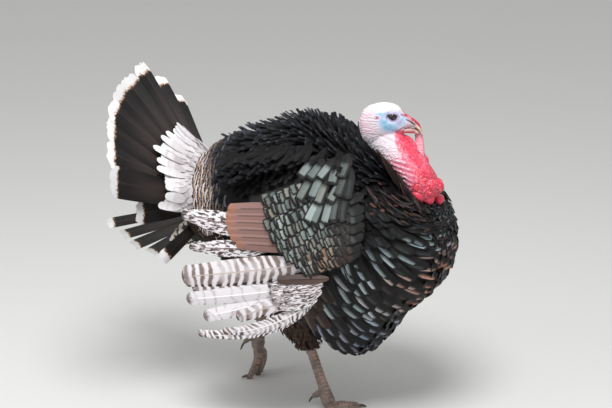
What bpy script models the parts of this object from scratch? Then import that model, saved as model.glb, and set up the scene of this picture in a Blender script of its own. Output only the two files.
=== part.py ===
"""Tom wild turkey, life size, walking in half display: tail fanned and raised, wings a little
dropped, neck drawn back. Metres, +X the way the bird walks, +Y its left, +Z up, floor at z = 0.

The feathered outline is modelled as solids: the trunk in four regions, each wing as coverts,
secondaries and primaries, and the tail as eighteen separate feathers with their coverts. The bare
head, neck, snood, dewlap and caruncles, the beak, the eyes, the legs and the claws are solids too.
"""

import math

import bmesh
import bpy
import numpy as np

# ---------------------------------------------------------------- driving dimensions (metres)
GAP = 0.0004  # clearance left between neighbouring solids

# Trunk with its plumage: back line and breast line in the middle plane, and half the width,
# each over s, which runs from the foot of the neck (0) to the root of the tail (1).
BACK_S = (0.0, 0.10, 0.20, 0.36, 0.60, 0.73, 0.88, 1.0)
BACK_XZ = ((0.250, 0.505), (0.188, 0.548), (0.120, 0.584), (0.020, 0.632),
           (-0.130, 0.592), (-0.200, 0.561), (-0.262, 0.503), (-0.295, 0.430))
BREAST_S = (0.0, 0.06, 0.14, 0.24, 0.38, 0.54, 0.66, 0.78, 0.88, 1.0)
BREAST_XZ = ((0.250, 0.505), (0.295, 0.465), (0.330, 0.400), (0.320, 0.318), (0.240, 0.231),
             (0.134, 0.123), (0.035, 0.185), (-0.090, 0.262), (-0.205, 0.325), (-0.295, 0.430))
WIDTH_S = (0.0, 0.06, 0.14, 0.24, 0.38, 0.54, 0.66, 0.78, 0.90, 1.0)
WIDTH_Y = (0.004, 0.075, 0.130, 0.168, 0.195, 0.192, 0.180, 0.150, 0.092, 0.004)

# Head: its own axes start between the eyes; a runs forward and v up.
HEAD_ORIGIN = (0.1976, 0.005, 0.6509)
HEAD_SIZE = 0.975  # of the lengths below
HEAD_YAW = 22.0  # degrees the head is turned to the left
EYE_RADIUS = 0.0085
EYE_SIDE = 0.0165  # eye centre from the middle plane
SKULL_A = (-0.0720, -0.0660, -0.055, -0.039, -0.020, -0.005, 0.010, 0.0250)
SKULL_TOP = (-0.014, 0.0035, 0.0155, 0.0225, 0.0260, 0.0250, 0.0195, 0.0060)
SKULL_UNDER = (-0.022, -0.0460, -0.0590, -0.0630, -0.0580, -0.0520, -0.0460, -0.0400)
SKULL_HALF = (0.0060, 0.0160, 0.0225, 0.0260, 0.0265, 0.0245, 0.0205, 0.0130)
BILL_A = (0.0254, 0.036, 0.046, 0.054, 0.060, 0.0640)
BILL_TOP = (-0.0025, -0.0090, -0.0158, -0.0228, -0.0310, -0.0405)
BILL_UNDER = (-0.0272, -0.0256, -0.0268, -0.0308, -0.0370, -0.0440)
BILL_HALF = (0.0112, 0.0098, 0.0082, 0.0064, 0.0046, 0.0016)
JAW_A = (0.0254, 0.036, 0.046, 0.0555)
JAW_TOP = (-0.0280, -0.0264, -0.0278, -0.0352)
JAW_UNDER = (-0.0405, -0.0410, -0.0415, -0.0420)
JAW_HALF = (0.0098, 0.0085, 0.0064, 0.0030)

# Neck: middle line (x, y, z) and half sizes fore-and-aft and sideways.
NECK_LINE = ((0.142, 0.000, 0.622), (0.170, 0.003, 0.604), (0.206, 0.005, 0.576),
             (0.243, 0.003, 0.540), (0.272, 0.000, 0.507), (0.285, 0.000, 0.480))
NECK_HALF_FORE = (0.022, 0.031, 0.034, 0.034, 0.031, 0.018)
NECK_HALF_SIDE = (0.020, 0.029, 0.033, 0.036, 0.038, 0.026)

# Wing (the left one has y > 0): outlines seen from the side, from its top to its lowest feather.
WING_U = (0.0, 0.17, 0.34, 0.50, 0.66, 0.83, 1.0)
WING_EDGE_XZ = ((0.010, 0.572), (0.110, 0.552), (0.185, 0.510), (0.215, 0.440),
                (0.190, 0.356), (0.122, 0.286), (0.070, 0.238))
WING_MIDDLE_XZ = ((-0.035, 0.560), (-0.016, 0.510), (-0.010, 0.455), (-0.008, 0.400),
                  (0.008, 0.345), (0.028, 0.290), (0.022, 0.216))
WING_TIP_XZ = ((-0.105, 0.535), (-0.160, 0.495), (-0.197, 0.435), (-0.186, 0.360),
               (-0.180, 0.303), (-0.158, 0.252), (-0.118, 0.183))
WING_HAND = 0.70  # where the primaries begin, as a share of the way down
WING_LIE_Z = (0.16, 0.18, 0.30, 0.36, 0.44, 0.50, 0.55, 0.62)
WING_LIE_Y = (0.238, 0.235, 0.217, 0.207, 0.191, 0.171, 0.142, 0.095)

# Tail: the root of the fan, and each feather's direction and length.
TAIL_ROOT = (-0.199, 0.0, 0.416)
FAN_UP = (-0.482, 0.034, 0.875)
FAN_SIDE = (-0.080, -0.997, -0.005)
RIGHT_DEGREES = (10.7, 22.0, 29.9, 37.1, 45.5, 55.8, 67.6)
RIGHT_LENGTHS = (0.357, 0.356, 0.360, 0.361, 0.354, 0.351, 0.352)
RIGHT_OUTER = (((-0.300, -0.945, 0.100), 0.252), ((-0.200, -0.900, -0.390), 0.212))
LEFT_FEATHERS = (((-0.628, 0.220, 0.746), 0.335), ((-0.645, 0.499, 0.578), 0.335),
                 ((-0.634, 0.598, 0.491), 0.335), ((-0.760, 0.600, 0.200), 0.340),
                 ((-0.900, 0.400, -0.050), 0.345), ((-0.938, 0.184, -0.293), 0.350),
                 ((-0.889, 0.283, -0.360), 0.350), ((-0.836, 0.327, -0.440), 0.350),
                 ((-0.763, 0.417, -0.494), 0.350))
FEATHER_HALF = 0.032  # widest half width of a tail feather
FEATHER_THICK = 0.0014
COVERT_REACH = ((-0.5, 0.145), (0.35, 0.225), (1.0, 0.155))

# Legs: hock and toe joint of each, then the toes.
RIGHT_HOCK = (0.0240, -0.068, 0.184)
RIGHT_JOINT = (0.082, -0.063, 0.022)
LEFT_HOCK = (-0.128, 0.070, 0.235)
LEFT_JOINT = (-0.152, 0.070, 0.078)
TOE_HALF = 0.0085
MIDDLE_TOE, SIDE_TOE, HIND_TOE = 0.092, 0.068, 0.034
CLAW = 0.017
PRESSED = 0.0010  # how far the toes' pads are flattened by the floor

COLOURS = {
    "black": (0.016, 0.014, 0.017), "bronze": (0.120, 0.066, 0.045), "teal": (0.090, 0.110, 0.110),
    "brown": (0.050, 0.034, 0.028), "barred": (0.330, 0.290, 0.260), "white": (0.760, 0.730, 0.700),
    "skin": (0.720, 0.640, 0.650), "red": (0.620, 0.030, 0.045), "horn": (0.330, 0.250, 0.190),
    "eye": (0.010, 0.008, 0.008), "shank": (0.160, 0.110, 0.095), "claw": (0.060, 0.050, 0.045),
}


# ---------------------------------------------------------------- small tools
def unit(v):
    v = np.asarray(v, float)
    return v / np.linalg.norm(v, axis=-1, keepdims=True)


def curve(knots, values, at):
    """A smooth curve through the values at the knots: cubic pieces whose slopes are the
    differences of the neighbouring values."""
    knots = np.asarray(knots, float)
    values = np.asarray(values, float).reshape(len(knots), -1)
    at = np.atleast_1d(np.asarray(at, float))
    slope = np.gradient(values, knots, axis=0)
    i = np.clip(np.searchsorted(knots, at, side="right") - 1, 0, len(knots) - 2)
    step = (knots[i + 1] - knots[i])[:, None]
    t = ((at - knots[i]) / (knots[i + 1] - knots[i]))[:, None]
    return ((2 * t**3 - 3 * t**2 + 1) * values[i] + (t**3 - 2 * t**2 + t) * step * slope[i]
            + (3 * t**2 - 2 * t**3) * values[i + 1] + (t**3 - t**2) * step * slope[i + 1])


def new_solid(name, points, faces, colour):
    """A mesh object with outward faces and its own material."""
    mesh = bpy.data.meshes.new(name)
    mesh.from_pydata([tuple(p) for p in np.asarray(points, float)], [], faces)
    shape = bmesh.new()
    shape.from_mesh(mesh)
    bmesh.ops.recalc_face_normals(shape, faces=shape.faces)
    if shape.calc_volume(signed=True) < 0:
        bmesh.ops.reverse_faces(shape, faces=shape.faces)
    bmesh.ops.triangulate(shape, faces=shape.faces)
    shape.to_mesh(mesh)
    shape.free()
    obj = bpy.data.objects.new(name, mesh)
    bpy.context.scene.collection.objects.link(obj)
    if colour:
        material = bpy.data.materials.new(name + "_material")
        material.use_nodes = True
        shader = material.node_tree.nodes["Principled BSDF"]
        shader.inputs["Base Color"].default_value = (*COLOURS[colour], 1.0)
        shader.inputs["Roughness"].default_value = 0.55
        mesh.materials.append(material)
    return obj


def loft(name, rings, colour):
    """A closed skin over a stack of rings, each end closed on its middle point."""
    rings = np.asarray(rings, float)
    n, m, _ = rings.shape
    points = np.concatenate([rings.reshape(-1, 3), rings[:1].mean(axis=1), rings[-1:].mean(axis=1)])
    faces = []
    for i in range(n - 1):
        for j in range(m):
            k = (j + 1) % m
            faces.append((i * m + j, i * m + k, (i + 1) * m + k, (i + 1) * m + j))
    for j in range(m):
        k = (j + 1) % m
        faces.append((n * m, k, j))
        faces.append((n * m + 1, (n - 1) * m + j, (n - 1) * m + k))
    return new_solid(name, points, faces, colour)


def slab(name, upper, lower, colour):
    """A closed plate between two grids of the same size."""
    n, m, _ = upper.shape
    points = np.concatenate([upper.reshape(-1, 3), lower.reshape(-1, 3)])
    faces = []
    for i in range(n - 1):
        for j in range(m - 1):
            a, b, c, d = i * m + j, i * m + j + 1, (i + 1) * m + j + 1, (i + 1) * m + j
            faces.append((a, b, c, d))
            faces.append((n * m + d, n * m + c, n * m + b, n * m + a))
    rim = ([(0, j) for j in range(m - 1)] + [(i, m - 1) for i in range(n - 1)]
           + [(n - 1, j) for j in range(m - 1, 0, -1)] + [(i, 0) for i in range(n - 1, 0, -1)])
    rim = [i * m + j for i, j in rim]
    for a, b in zip(rim, rim[1:] + rim[:1]):
        faces.append((b, a, n * m + a, n * m + b))
    return new_solid(name, points, faces, colour)


def tube(name, line, half_up, half_side, side, colour, around, steps):
    """A tube along a smooth line; its cross-sections are ellipses square to the line."""
    t = np.linspace(0, 1, len(line))
    at = np.linspace(0, 1, steps)
    middle = curve(t, line, at)
    along = unit(np.gradient(middle, axis=0))
    side = unit(side - along * (along @ np.asarray(side, float))[:, None])
    up = np.cross(along, side)
    up_half, side_half = curve(t, half_up, at), curve(t, half_side, at)
    turn = np.linspace(0, 2 * math.pi, around, endpoint=False)
    rings = (middle[:, None] + up[:, None] * up_half[:, None] * np.cos(turn)[None, :, None]
             + side[:, None] * side_half[:, None] * np.sin(turn)[None, :, None])
    return loft(name, rings, colour)


def swollen(obj, by=GAP):
    """A hidden copy of the solid, grown outwards, to cut its neighbours with."""
    shape = bmesh.new()
    shape.from_mesh(obj.data)
    shape.normal_update()
    moved = [(v, v.co + v.normal * by) for v in shape.verts]
    for v, place in moved:
        v.co = place
    mesh = bpy.data.meshes.new(obj.name + "_cutter")
    shape.to_mesh(mesh)
    shape.free()
    cutter = bpy.data.objects.new(obj.name + "_cutter", mesh)
    bpy.context.scene.collection.objects.link(cutter)
    cutter.hide_render = True
    return cutter


def largest_body(obj):
    """Drops all but the biggest separate piece."""
    shape = bmesh.new()
    shape.from_mesh(obj.data)
    left, bodies = set(shape.verts), []
    while left:
        todo, body = [left.pop()], set()
        while todo:
            v = todo.pop()
            body.add(v)
            for e in v.link_edges:
                w = e.other_vert(v)
                if w in left:
                    left.remove(w)
                    todo.append(w)
        bodies.append(body)
    if len(bodies) > 1:
        bodies.sort(key=len)
        bmesh.ops.delete(shape, geom=[v for body in bodies[:-1] for v in body], context="VERTS")
        shape.to_mesh(obj.data)
    shape.free()


def settle(obj):
    """Applies the modifiers, so the mesh is the shape."""
    graph = bpy.context.evaluated_depsgraph_get()
    obj.data = bpy.data.meshes.new_from_object(obj.evaluated_get(graph))
    obj.modifiers.clear()


def combine(obj, other, operation):
    change = obj.modifiers.new("combine", "BOOLEAN")
    change.operation, change.solver, change.object = operation, "EXACT", other
    settle(obj)
    bpy.data.objects.remove(other, do_unlink=True)


def cut_by(obj, neighbours, by=GAP):
    """Cuts the solid back so that it clears each neighbour."""
    for neighbour in neighbours:
        combine(obj, swollen(neighbour, by), "DIFFERENCE")
    largest_body(obj)


def join(obj, others):
    for other in others:
        combine(obj, other, "UNION")


def half_space(obj, point, normal):
    """Keeps the part of the solid on the side that the normal points away from, and caps it."""
    shape = bmesh.new()
    shape.from_mesh(obj.data)
    cut = bmesh.ops.bisect_plane(shape, geom=shape.verts[:] + shape.edges[:] + shape.faces[:],
                                 plane_co=point, plane_no=normal, clear_outer=True, dist=1e-7)
    edges = [e for e in cut["geom_cut"] if isinstance(e, bmesh.types.BMEdge)]
    bmesh.ops.edgeloop_fill(shape, edges=edges)
    bmesh.ops.recalc_face_normals(shape, faces=shape.faces)
    shape.to_mesh(obj.data)
    shape.free()


# ---------------------------------------------------------------- trunk
def trunk_points(s, turn):
    """Rings round the trunk: an ellipse on each line from the back to the breast."""
    back, breast = curve(BACK_S, BACK_XZ, s), curve(BREAST_S, BREAST_XZ, s)
    half = curve(WIDTH_S, WIDTH_Y, s)
    middle, reach = (back + breast) / 2, (back - breast) / 2
    up, across = np.cos(turn), np.sin(turn)
    xz = middle[:, None] + reach[:, None] * up[None, :, None]
    y = half * across[None]
    return np.stack([xz[..., 0], y, xz[..., 1]], axis=-1)


def build_trunk():
    s = (1 - np.cos(np.linspace(0.07, math.pi - 0.07, 18))) / 2
    turn = np.linspace(0, 2 * math.pi, 24, endpoint=False)
    whole = loft("trunk", trunk_points(s, turn), None)
    shoulder, rear = (0.06, 0.0, 0.475), (-0.130, 0.0, 0.40)
    low = (0.06, 0.0, 0.30)
    down, back, fore = np.array((0.05, 0, -1.0)), np.array((-1.0, 0, 0.12)), np.array((1.0, 0, 0.1))
    shift = GAP / 2
    regions = (
        ("mantle", "black", ((shoulder, down), (rear, back))),
        ("breast", "teal", ((shoulder, -down), (low, -fore))),
        ("belly", "brown", ((shoulder, -down), (low, fore), (rear, back))),
        ("rump", "barred", ((rear, -back),)),
    )
    pieces = []
    for name, colour, planes in regions:
        piece = new_solid(name, [v.co[:] for v in whole.data.vertices],
                          [tuple(p.vertices) for p in whole.data.polygons], colour)
        for point, normal in planes:
            normal = unit(normal)
            half_space(piece, np.asarray(point) - normal * shift, normal)
        pieces.append(piece)
    whole.hide_render = True
    return whole, pieces


# ---------------------------------------------------------------- head and neck
def head_place(a, side, v):
    """A place in the head's own axes, in the bird's."""
    yaw = math.radians(HEAD_YAW)
    fore = np.array((math.cos(yaw), math.sin(yaw), 0.0))
    left = np.array((-math.sin(yaw), math.cos(yaw), 0.0))
    a, side, v = np.broadcast_arrays(*(np.asarray(w, float) * HEAD_SIZE for w in (a, side, v)))
    return (np.asarray(HEAD_ORIGIN) + a[..., None] * fore + side[..., None] * left
            + v[..., None] * np.array((0, 0, 1.0)))


def head_loft(name, a, top, under, half, steps, around, colour, full=2.3):
    """Upright rounded rings from front to back between the upper and the lower outline."""
    at = np.linspace(a[0], a[-1], steps)
    top, under, half = (curve(a, values, at) for values in (top, under, half))
    turn = np.linspace(0, 2 * math.pi, around, endpoint=False)
    across = np.sign(np.sin(turn)) * np.abs(np.sin(turn)) ** (2 / full)
    up = np.sign(np.cos(turn)) * np.abs(np.cos(turn)) ** (2 / full)
    v = (top + under) / 2 + (top - under) / 2 * up[None]
    return loft(name, head_place(at[:, None], half * across[None], v), colour)


def ball(name, centre, radii, colour, around=16, steps=10):
    lat = np.linspace(0.12, math.pi - 0.12, steps)
    turn = np.linspace(0, 2 * math.pi, around, endpoint=False)
    grid = np.stack([np.sin(lat)[:, None] * np.cos(turn), np.sin(lat)[:, None] * np.sin(turn),
                     np.cos(lat)[:, None] * np.ones(around)], axis=-1)
    return loft(name, np.asarray(centre) + grid * np.asarray(radii), colour)


def build_head(trunk):
    skull = head_loft("head", SKULL_A, SKULL_TOP, SKULL_UNDER, SKULL_HALF, 11, 14, "skin")
    upper = head_loft("beak_upper", BILL_A, BILL_TOP, BILL_UNDER, BILL_HALF, 8, 12, "horn", 2.0)
    lower = head_loft("beak_lower", JAW_A, JAW_TOP, JAW_UNDER, JAW_HALF, 5, 12, "horn", 2.2)
    for side, name in ((-1, "eye_right"), (1, "eye_left")):
        eye = ball(name, head_place(0.0, side * EYE_SIDE, 0.0), (EYE_RADIUS,) * 3, "eye", 10, 6)
        combine(skull, swollen(eye), "DIFFERENCE")
    largest_body(skull)
    neck = tube("neck", NECK_LINE, NECK_HALF_FORE, NECK_HALF_SIDE, (0, 1, 0), "skin", 14, 8)
    cut_by(neck, (trunk, skull))

    # Dewlap: a thin upright fold from the throat to the front of the neck.
    line = [head_place(*p) for p in ((0.012, 0, -0.044), (0.024, 0, -0.062), (0.038, 0, -0.088),
                                     (0.056, 0, -0.112), (0.066, 0, -0.124))]
    dewlap = tube("dewlap", line, (0.006, 0.019, 0.024, 0.026, 0.014),
                  (0.004, 0.009, 0.012, 0.014, 0.008), (-0.37, 0.93, 0), "red", 12, 8)
    cut_by(dewlap, (skull, lower, neck))

    # Snood: the fleshy finger from the forehead, over the left of the beak and down.
    line = [head_place(*p) for p in ((0.015, 0.001, 0.0050), (0.029, 0.004, -0.0050),
                                     (0.041, 0.0075, -0.0135), (0.0500, 0.0115, -0.0220),
                                     (0.0550, 0.0130, -0.0340), (0.0572, 0.0080, -0.0520),
                                     (0.0605, 0.0000, -0.0720), (0.0620, -0.0080, -0.0900),
                                     (0.0640, -0.0120, -0.1060))]
    snood = tube("snood", line,
                 (0.0042, 0.0050, 0.0054, 0.0060, 0.0072, 0.0082, 0.0080, 0.0072, 0.0046),
                 (0.0050, 0.0062, 0.0060, 0.0056, 0.0056, 0.0056, 0.0056, 0.0054, 0.0040),
                 (-0.37, 0.93, 0), "red", 8, 13)
    cut_by(snood, (skull, upper, lower, dewlap, neck))

    # Caruncles: the knobbed mass at the foot of the neck and its large lowest knobs.
    knobs = (((0.2765, -0.021, 0.4877), 0.0150), ((0.287, -0.012, 0.483), 0.0125),
             ((0.2986, 0.020, 0.4759), 0.0105), ((0.300, 0.004, 0.507), 0.0145),
             ((0.294, -0.014, 0.512), 0.0140), ((0.294, 0.014, 0.509), 0.0140),
             ((0.270, -0.029, 0.510), 0.0110))
    mass = ball("caruncles", (0.280, 0.000, 0.505), (0.027, 0.033, 0.023), "red", 12, 7)
    join(mass, [ball("knob", place, (size,) * 3, None, 8, 5) for place, size in knobs])
    cut_by(mass, (trunk, neck, dewlap, snood))
    return skull


# ---------------------------------------------------------------- wings
def trunk_side():
    """Half the trunk's width at each place of its side view, as a function of x and z."""
    s = (1 - np.cos(np.linspace(0.03, math.pi - 0.03, 260))) / 2
    samples = trunk_points(s, np.linspace(0, math.pi, 181)).reshape(-1, 3)

    def width(xz):
        flat = xz.reshape(-1, 2)
        found = np.zeros(len(flat))
        for i, (x, z) in enumerate(flat):
            apart = (samples[:, 0] - x) ** 2 + (samples[:, 2] - z) ** 2
            near = apart < 0.008**2
            found[i] = samples[near, 1].max() if near.any() else 0.0
        return found.reshape(xz.shape[:-1])

    return width


def wing_plate(name, start, end, u, t, thick, tuck, fingers, finger_depth, width, side, colour):
    """A plate over the wing between two outlines, laid on the trunk's side; its thickness goes
    from thick[0] at the first outline to thick[1] at the second, the first outline is tucked
    inwards, and the second may be notched between feather tips."""
    a, b = curve(WING_U, start, u), curve(WING_U, end, u)
    if fingers:
        notch = np.abs(((u - u[0]) / (u[-1] - u[0]) * fingers) % 1.0 - 0.5) * 2
        b = b - unit(b - a) * (finger_depth * notch**2)[:, None]
    xz = a[:, None] + (b - a)[:, None] * t[None, :, None]
    lie = curve(WING_LIE_Z, WING_LIE_Y, xz[..., 1].ravel()).reshape(xz.shape[:2])
    inner = np.maximum(width(xz) + 0.0025, lie - tuck * (1 - t[None]) ** 2)
    rim = np.minimum(1.0, 4.0 * np.sin(math.pi * np.clip((u - u[0]) / (u[-1] - u[0]), 0, 1)) + 0.25)
    outer = inner + (thick[0] + (thick[1] - thick[0]) * t[None]) * rim[:, None]
    near = np.stack([xz[..., 0], side * inner, xz[..., 1]], axis=-1)
    far = np.stack([xz[..., 0], side * outer, xz[..., 1]], axis=-1)
    return slab(name, far, near, colour)


def build_wings():
    width = trunk_side()
    edge, middle, tip = (np.asarray(v) for v in (WING_EDGE_XZ, WING_MIDDLE_XZ, WING_TIP_XZ))
    after = middle + unit(tip - middle) * 4 * GAP
    for side, word in ((-1, "right"), (1, "left")):
        wing_plate("wing_coverts_" + word, edge, middle, np.linspace(0, 1, 16),
                   np.linspace(0, 1, 4), (0.010, 0.020), 0.035, 0, 0, width, side, "teal")
        wing_plate("secondaries_" + word, after, tip, np.linspace(0, WING_HAND - 0.002, 31),
                   np.linspace(0, 1, 3), (0.012, 0.003), 0, 10, 0.012, width, side, "bronze")
        wing_plate("primaries_" + word, after, tip, np.linspace(WING_HAND + 0.002, 1, 16),
                   np.linspace(0, 1, 3), (0.010, 0.003), 0, 5, 0.016, width, side, "barred")


# ---------------------------------------------------------------- tail
def tail_feathers():
    """(name, direction, length) of the eighteen feathers, from the right side to the left."""
    up, side = unit(FAN_UP), unit(FAN_SIDE)
    right = [(up * math.cos(math.radians(d)) + side * math.sin(math.radians(d)), length)
             for d, length in zip(RIGHT_DEGREES, RIGHT_LENGTHS)]
    right += [(unit(d), length) for d, length in RIGHT_OUTER]
    left = [(unit(d), length) for d, length in LEFT_FEATHERS]
    named = [(f"tail_right_{i + 1}", d, n) for i, (d, n) in enumerate(right)][::-1]
    return named + [(f"tail_left_{i + 1}", d, n) for i, (d, n) in enumerate(left)]


def build_tail(trunk):
    feathers = tail_feathers()
    ways = np.array([d for _, d, _ in feathers])
    spread = np.gradient(ways, axis=0)
    across = unit(spread - ways * (spread * ways).sum(axis=1, keepdims=True))
    v, u = np.array((0, 0.4, 0.75, 0.93, 1)), np.array((-1, -0.55, 0.55, 1))
    root = np.asarray(TAIL_ROOT)
    plates = []
    for i, (name, way, length) in enumerate(feathers):
        side, face = across[i], unit(np.cross(way, across[i]))
        near = [math.acos(np.clip(way @ ways[j], -1, 1)) for j in (i - 1, i + 1)
                if 0 <= j < len(ways)]
        open_half = math.tan(min(near) / 2)
        r = 0.045 + (length - 0.045) * v
        half = np.minimum(FEATHER_HALF * (0.45 + 0.55 * np.sin(math.pi * 0.5 * v) ** 0.8),
                          r * open_half - GAP / 2)
        reach = r[:, None] - 0.016 * np.abs(u)[None] ** 3 * v[:, None] ** 8
        wide = half[:, None] * u[None] * reach / r[:, None]
        grid = root + reach[..., None] * way + wide[..., None] * side
        thick = (0.0030 * (1 - v) + FEATHER_THICK * v)[:, None, None] / 2 * face
        plate = slab(name, grid + thick, grid - thick, "black")
        cut_by(plate, (trunk,))
        plates.append(plate)

    # Upper coverts: a curved layer over the front of the fan's roots.
    knots = np.linspace(1, -1, len(ways))
    q = np.linspace(0.80, -0.46, 17)
    direction = unit(curve(knots[::-1], ways[::-1], q))
    bend = np.gradient(direction, axis=0)
    face = unit(np.cross(direction, unit(bend)))
    if face[0] @ np.array((1.0, 0, 0.5)) < 0:
        face = -face
    reach = curve([a for a, _ in COVERT_REACH], [b for _, b in COVERT_REACH], q)
    reach = reach - 0.010 * np.abs(np.sin(q * 22))[:, None]
    t = np.linspace(0, 1, 3)
    r = 0.075 + (reach - 0.075) * t[None]
    base = root + direction[:, None] * r[..., None]
    low = base + face[:, None] * (0.0042 + 0.004 * (1 - t))[None, :, None]
    high = base + face[:, None] * (0.0078 + 0.014 * (1 - t))[None, :, None]
    coverts = slab("upper_tail_coverts", high, low, "white")
    cut_by(coverts, [trunk] + plates)

    # Under coverts: a soft lobe below the fan.
    under = tube("under_tail_coverts", ((-0.215, -0.040, 0.375), (-0.270, -0.046, 0.352),
                                        (-0.320, -0.050, 0.325), (-0.350, -0.052, 0.305)),
                 (0.030, 0.034, 0.022, 0.006), (0.026, 0.030, 0.022, 0.008), (0, 1, 0),
                 "brown", 10, 6)
    cut_by(under, [trunk] + plates)


# ---------------------------------------------------------------- legs
def toe_line(joint, heading, length, half):
    """Middle line of a toe: out from the joint along the floor, its pads pressed into it."""
    out = np.array((math.cos(heading), math.sin(heading), 0.0))
    line = [np.asarray(joint) + out * length * t for t in (0.0, 0.30, 0.65, 1.0)]
    for place, thick in zip(line, half):
        place[2] = thick - PRESSED
    return line


def build_leg(word, hock, joint, knee, heel_up, trunk):
    """Shank and toes as one solid, the claws, the spur and the thigh. With the heel up the toes
    hang from the joint and only their tips are on the floor."""
    hock, joint, knee = (np.asarray(p, float) for p in (hock, joint, knee))
    inner = 1 if word == "right" else -1
    shank = joint - hock
    foot = tube("foot_" + word, (hock + (0.004, 0, 0.012), hock - (0.003, 0, 0.010),
                                 hock + 0.35 * shank, hock + 0.75 * shank, joint,
                                 joint + 0.05 * shank + (0.002, 0, 0)),
                (0.013, 0.015, 0.0110, 0.0110, 0.0150, 0.0120),
                (0.011, 0.013, 0.0095, 0.0100, 0.0140, 0.0110), (0, 1, 0), "shank", 8, 10)
    toes = []
    half = (TOE_HALF + 0.0025, TOE_HALF + 0.001, TOE_HALF, TOE_HALF - 0.0025)
    for heading, length in ((0.05, MIDDLE_TOE), (0.62, SIDE_TOE), (-0.56, SIDE_TOE)):
        if heel_up:
            fan = math.sin(heading)
            end = np.array((joint[0] - 0.020 + 0.012 * math.cos(heading) * length / SIDE_TOE,
                            joint[1] + fan * length * 0.75, -PRESSED))
            middle = (joint + end) / 2 + np.array((0.010, fan * 0.004, 0.004))
            line = [joint, joint * 0.55 + middle * 0.45, middle, end]
            way, seat, facing = unit((-1.0, 0.5 * fan, -0.2)), end + (0, 0, 0.0075), (1.0, 0, 0)
        else:
            line = toe_line(joint, heading, length, half)
            way, seat, facing = unit(line[-1] - line[-2]), line[-1], (0, 0, 1.0)
        toes.append((line, half, way, seat, facing))
    back = unit(-shank * 0.3 + np.array((-1.0, 0.25 * inner, 0)))
    start = joint - 0.10 * shank
    down = np.array((0, 0, -1.0 if not heel_up else -0.8))
    hind = [start, start + back * 0.016 + down * 0.004, start + back * 0.026 + down * 0.012,
            start + back * HIND_TOE + down * (0.0165 if not heel_up else 0.022)]
    way = unit(unit(hind[-1] - hind[-2]) + np.array((0, 0, -0.5)))
    toes.append((hind, (0.008, 0.0068, 0.006, 0.0048), way, hind[-1], (0, 0, 1.0)))
    for n, (line, half, way, seat, facing) in enumerate(toes):
        sideways = np.cross(unit(line[-1] - line[0]), facing)
        toe = tube("toe", line, half, half, sideways, None, 8, 5)
        tip = seat + way * CLAW
        tip[2] = max(tip[2] - 0.004, 0.0018)
        middle = (seat + tip) / 2 + np.array((0, 0, 0.0015))
        thick = half[-1] * 0.62
        claw = tube(f"claw_{word}_{n + 1}", (seat - way * 0.003, middle, tip),
                    (thick, thick * 0.8, 0.0012), (thick, thick * 0.75, 0.0012),
                    np.cross(way, (0, 0, 1.0)), "claw", 6, 4)
        toes[n] = (toe, claw)
    copies = []
    for toe, claw in toes:
        cut_by(claw, (toe,))
        copies.append(toe)
    join(foot, copies)
    cut_by(foot, (trunk,))
    half_space(foot, (0, 0, 0), (0, 0, -1))

    # Spur on the inner rear of the shank.
    seat = hock + 0.62 * shank
    spur_way = unit(np.array((-1.0, 0.55 * inner, 0.05)))
    spur = tube("spur_" + word, (seat + spur_way * 0.004, seat + spur_way * 0.014,
                                 seat + spur_way * 0.024 + np.array((0, 0, 0.003))),
                (0.0050, 0.0038, 0.0010), (0.0050, 0.0038, 0.0010), (0, 0, 1), "claw", 7, 4)
    cut_by(spur, (foot,))

    thigh = tube("thigh_" + word, (knee, knee * 0.6 + hock * 0.4 + (0.004, 0, 0),
                                   hock * 0.75 + knee * 0.25, hock + 0.20 * shank),
                 (0.078, 0.070, 0.050, 0.018), (0.058, 0.054, 0.040, 0.016), (0, 1, 0),
                 "brown", 12, 5)
    cut_by(thigh, (trunk, foot))


# ---------------------------------------------------------------- the bird
def build():
    for obj in list(bpy.data.objects):
        bpy.data.objects.remove(obj, do_unlink=True)
    trunk, _ = build_trunk()
    build_head(trunk)
    build_wings()
    build_tail(trunk)
    build_leg("right", RIGHT_HOCK, RIGHT_JOINT, (0.030, -0.088, 0.275), False, trunk)
    build_leg("left", LEFT_HOCK, LEFT_JOINT, (-0.060, 0.090, 0.300), True, trunk)
    bpy.data.objects.remove(trunk, do_unlink=True)

    # Put the middle of the bird's outline over the origin.
    solids = [obj for obj in bpy.data.objects if obj.type == "MESH"]
    corners = np.array([v.co[:] for obj in solids for v in obj.data.vertices])
    shift = (corners.min(axis=0) + corners.max(axis=0)) / 2
    shift[2] = corners[:, 2].min()
    for obj in solids:
        for v in obj.data.vertices:
            v.co = [c - d for c, d in zip(v.co, shift)]


build()
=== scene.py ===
"""Looks of the tom wild turkey walking in half display, life size.

One piece, the skin, carries the bare head and neck, the body under its coat and the scaly feet. It
is two closed shells: the foot of the neck stands about 3 mm clear of the body, under the cape and
the throat. Over it lie several thousand feathers, each a thin closed vane that follows the body's
own surface. Beak, eyes, claws and flight feathers are separate. Metres; shapes are worked out in
the bird's own axes, +X the way it walks, +Y its left, +Z up, and shifted to the frame's origin when
a mesh is made.
"""

import math

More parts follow.
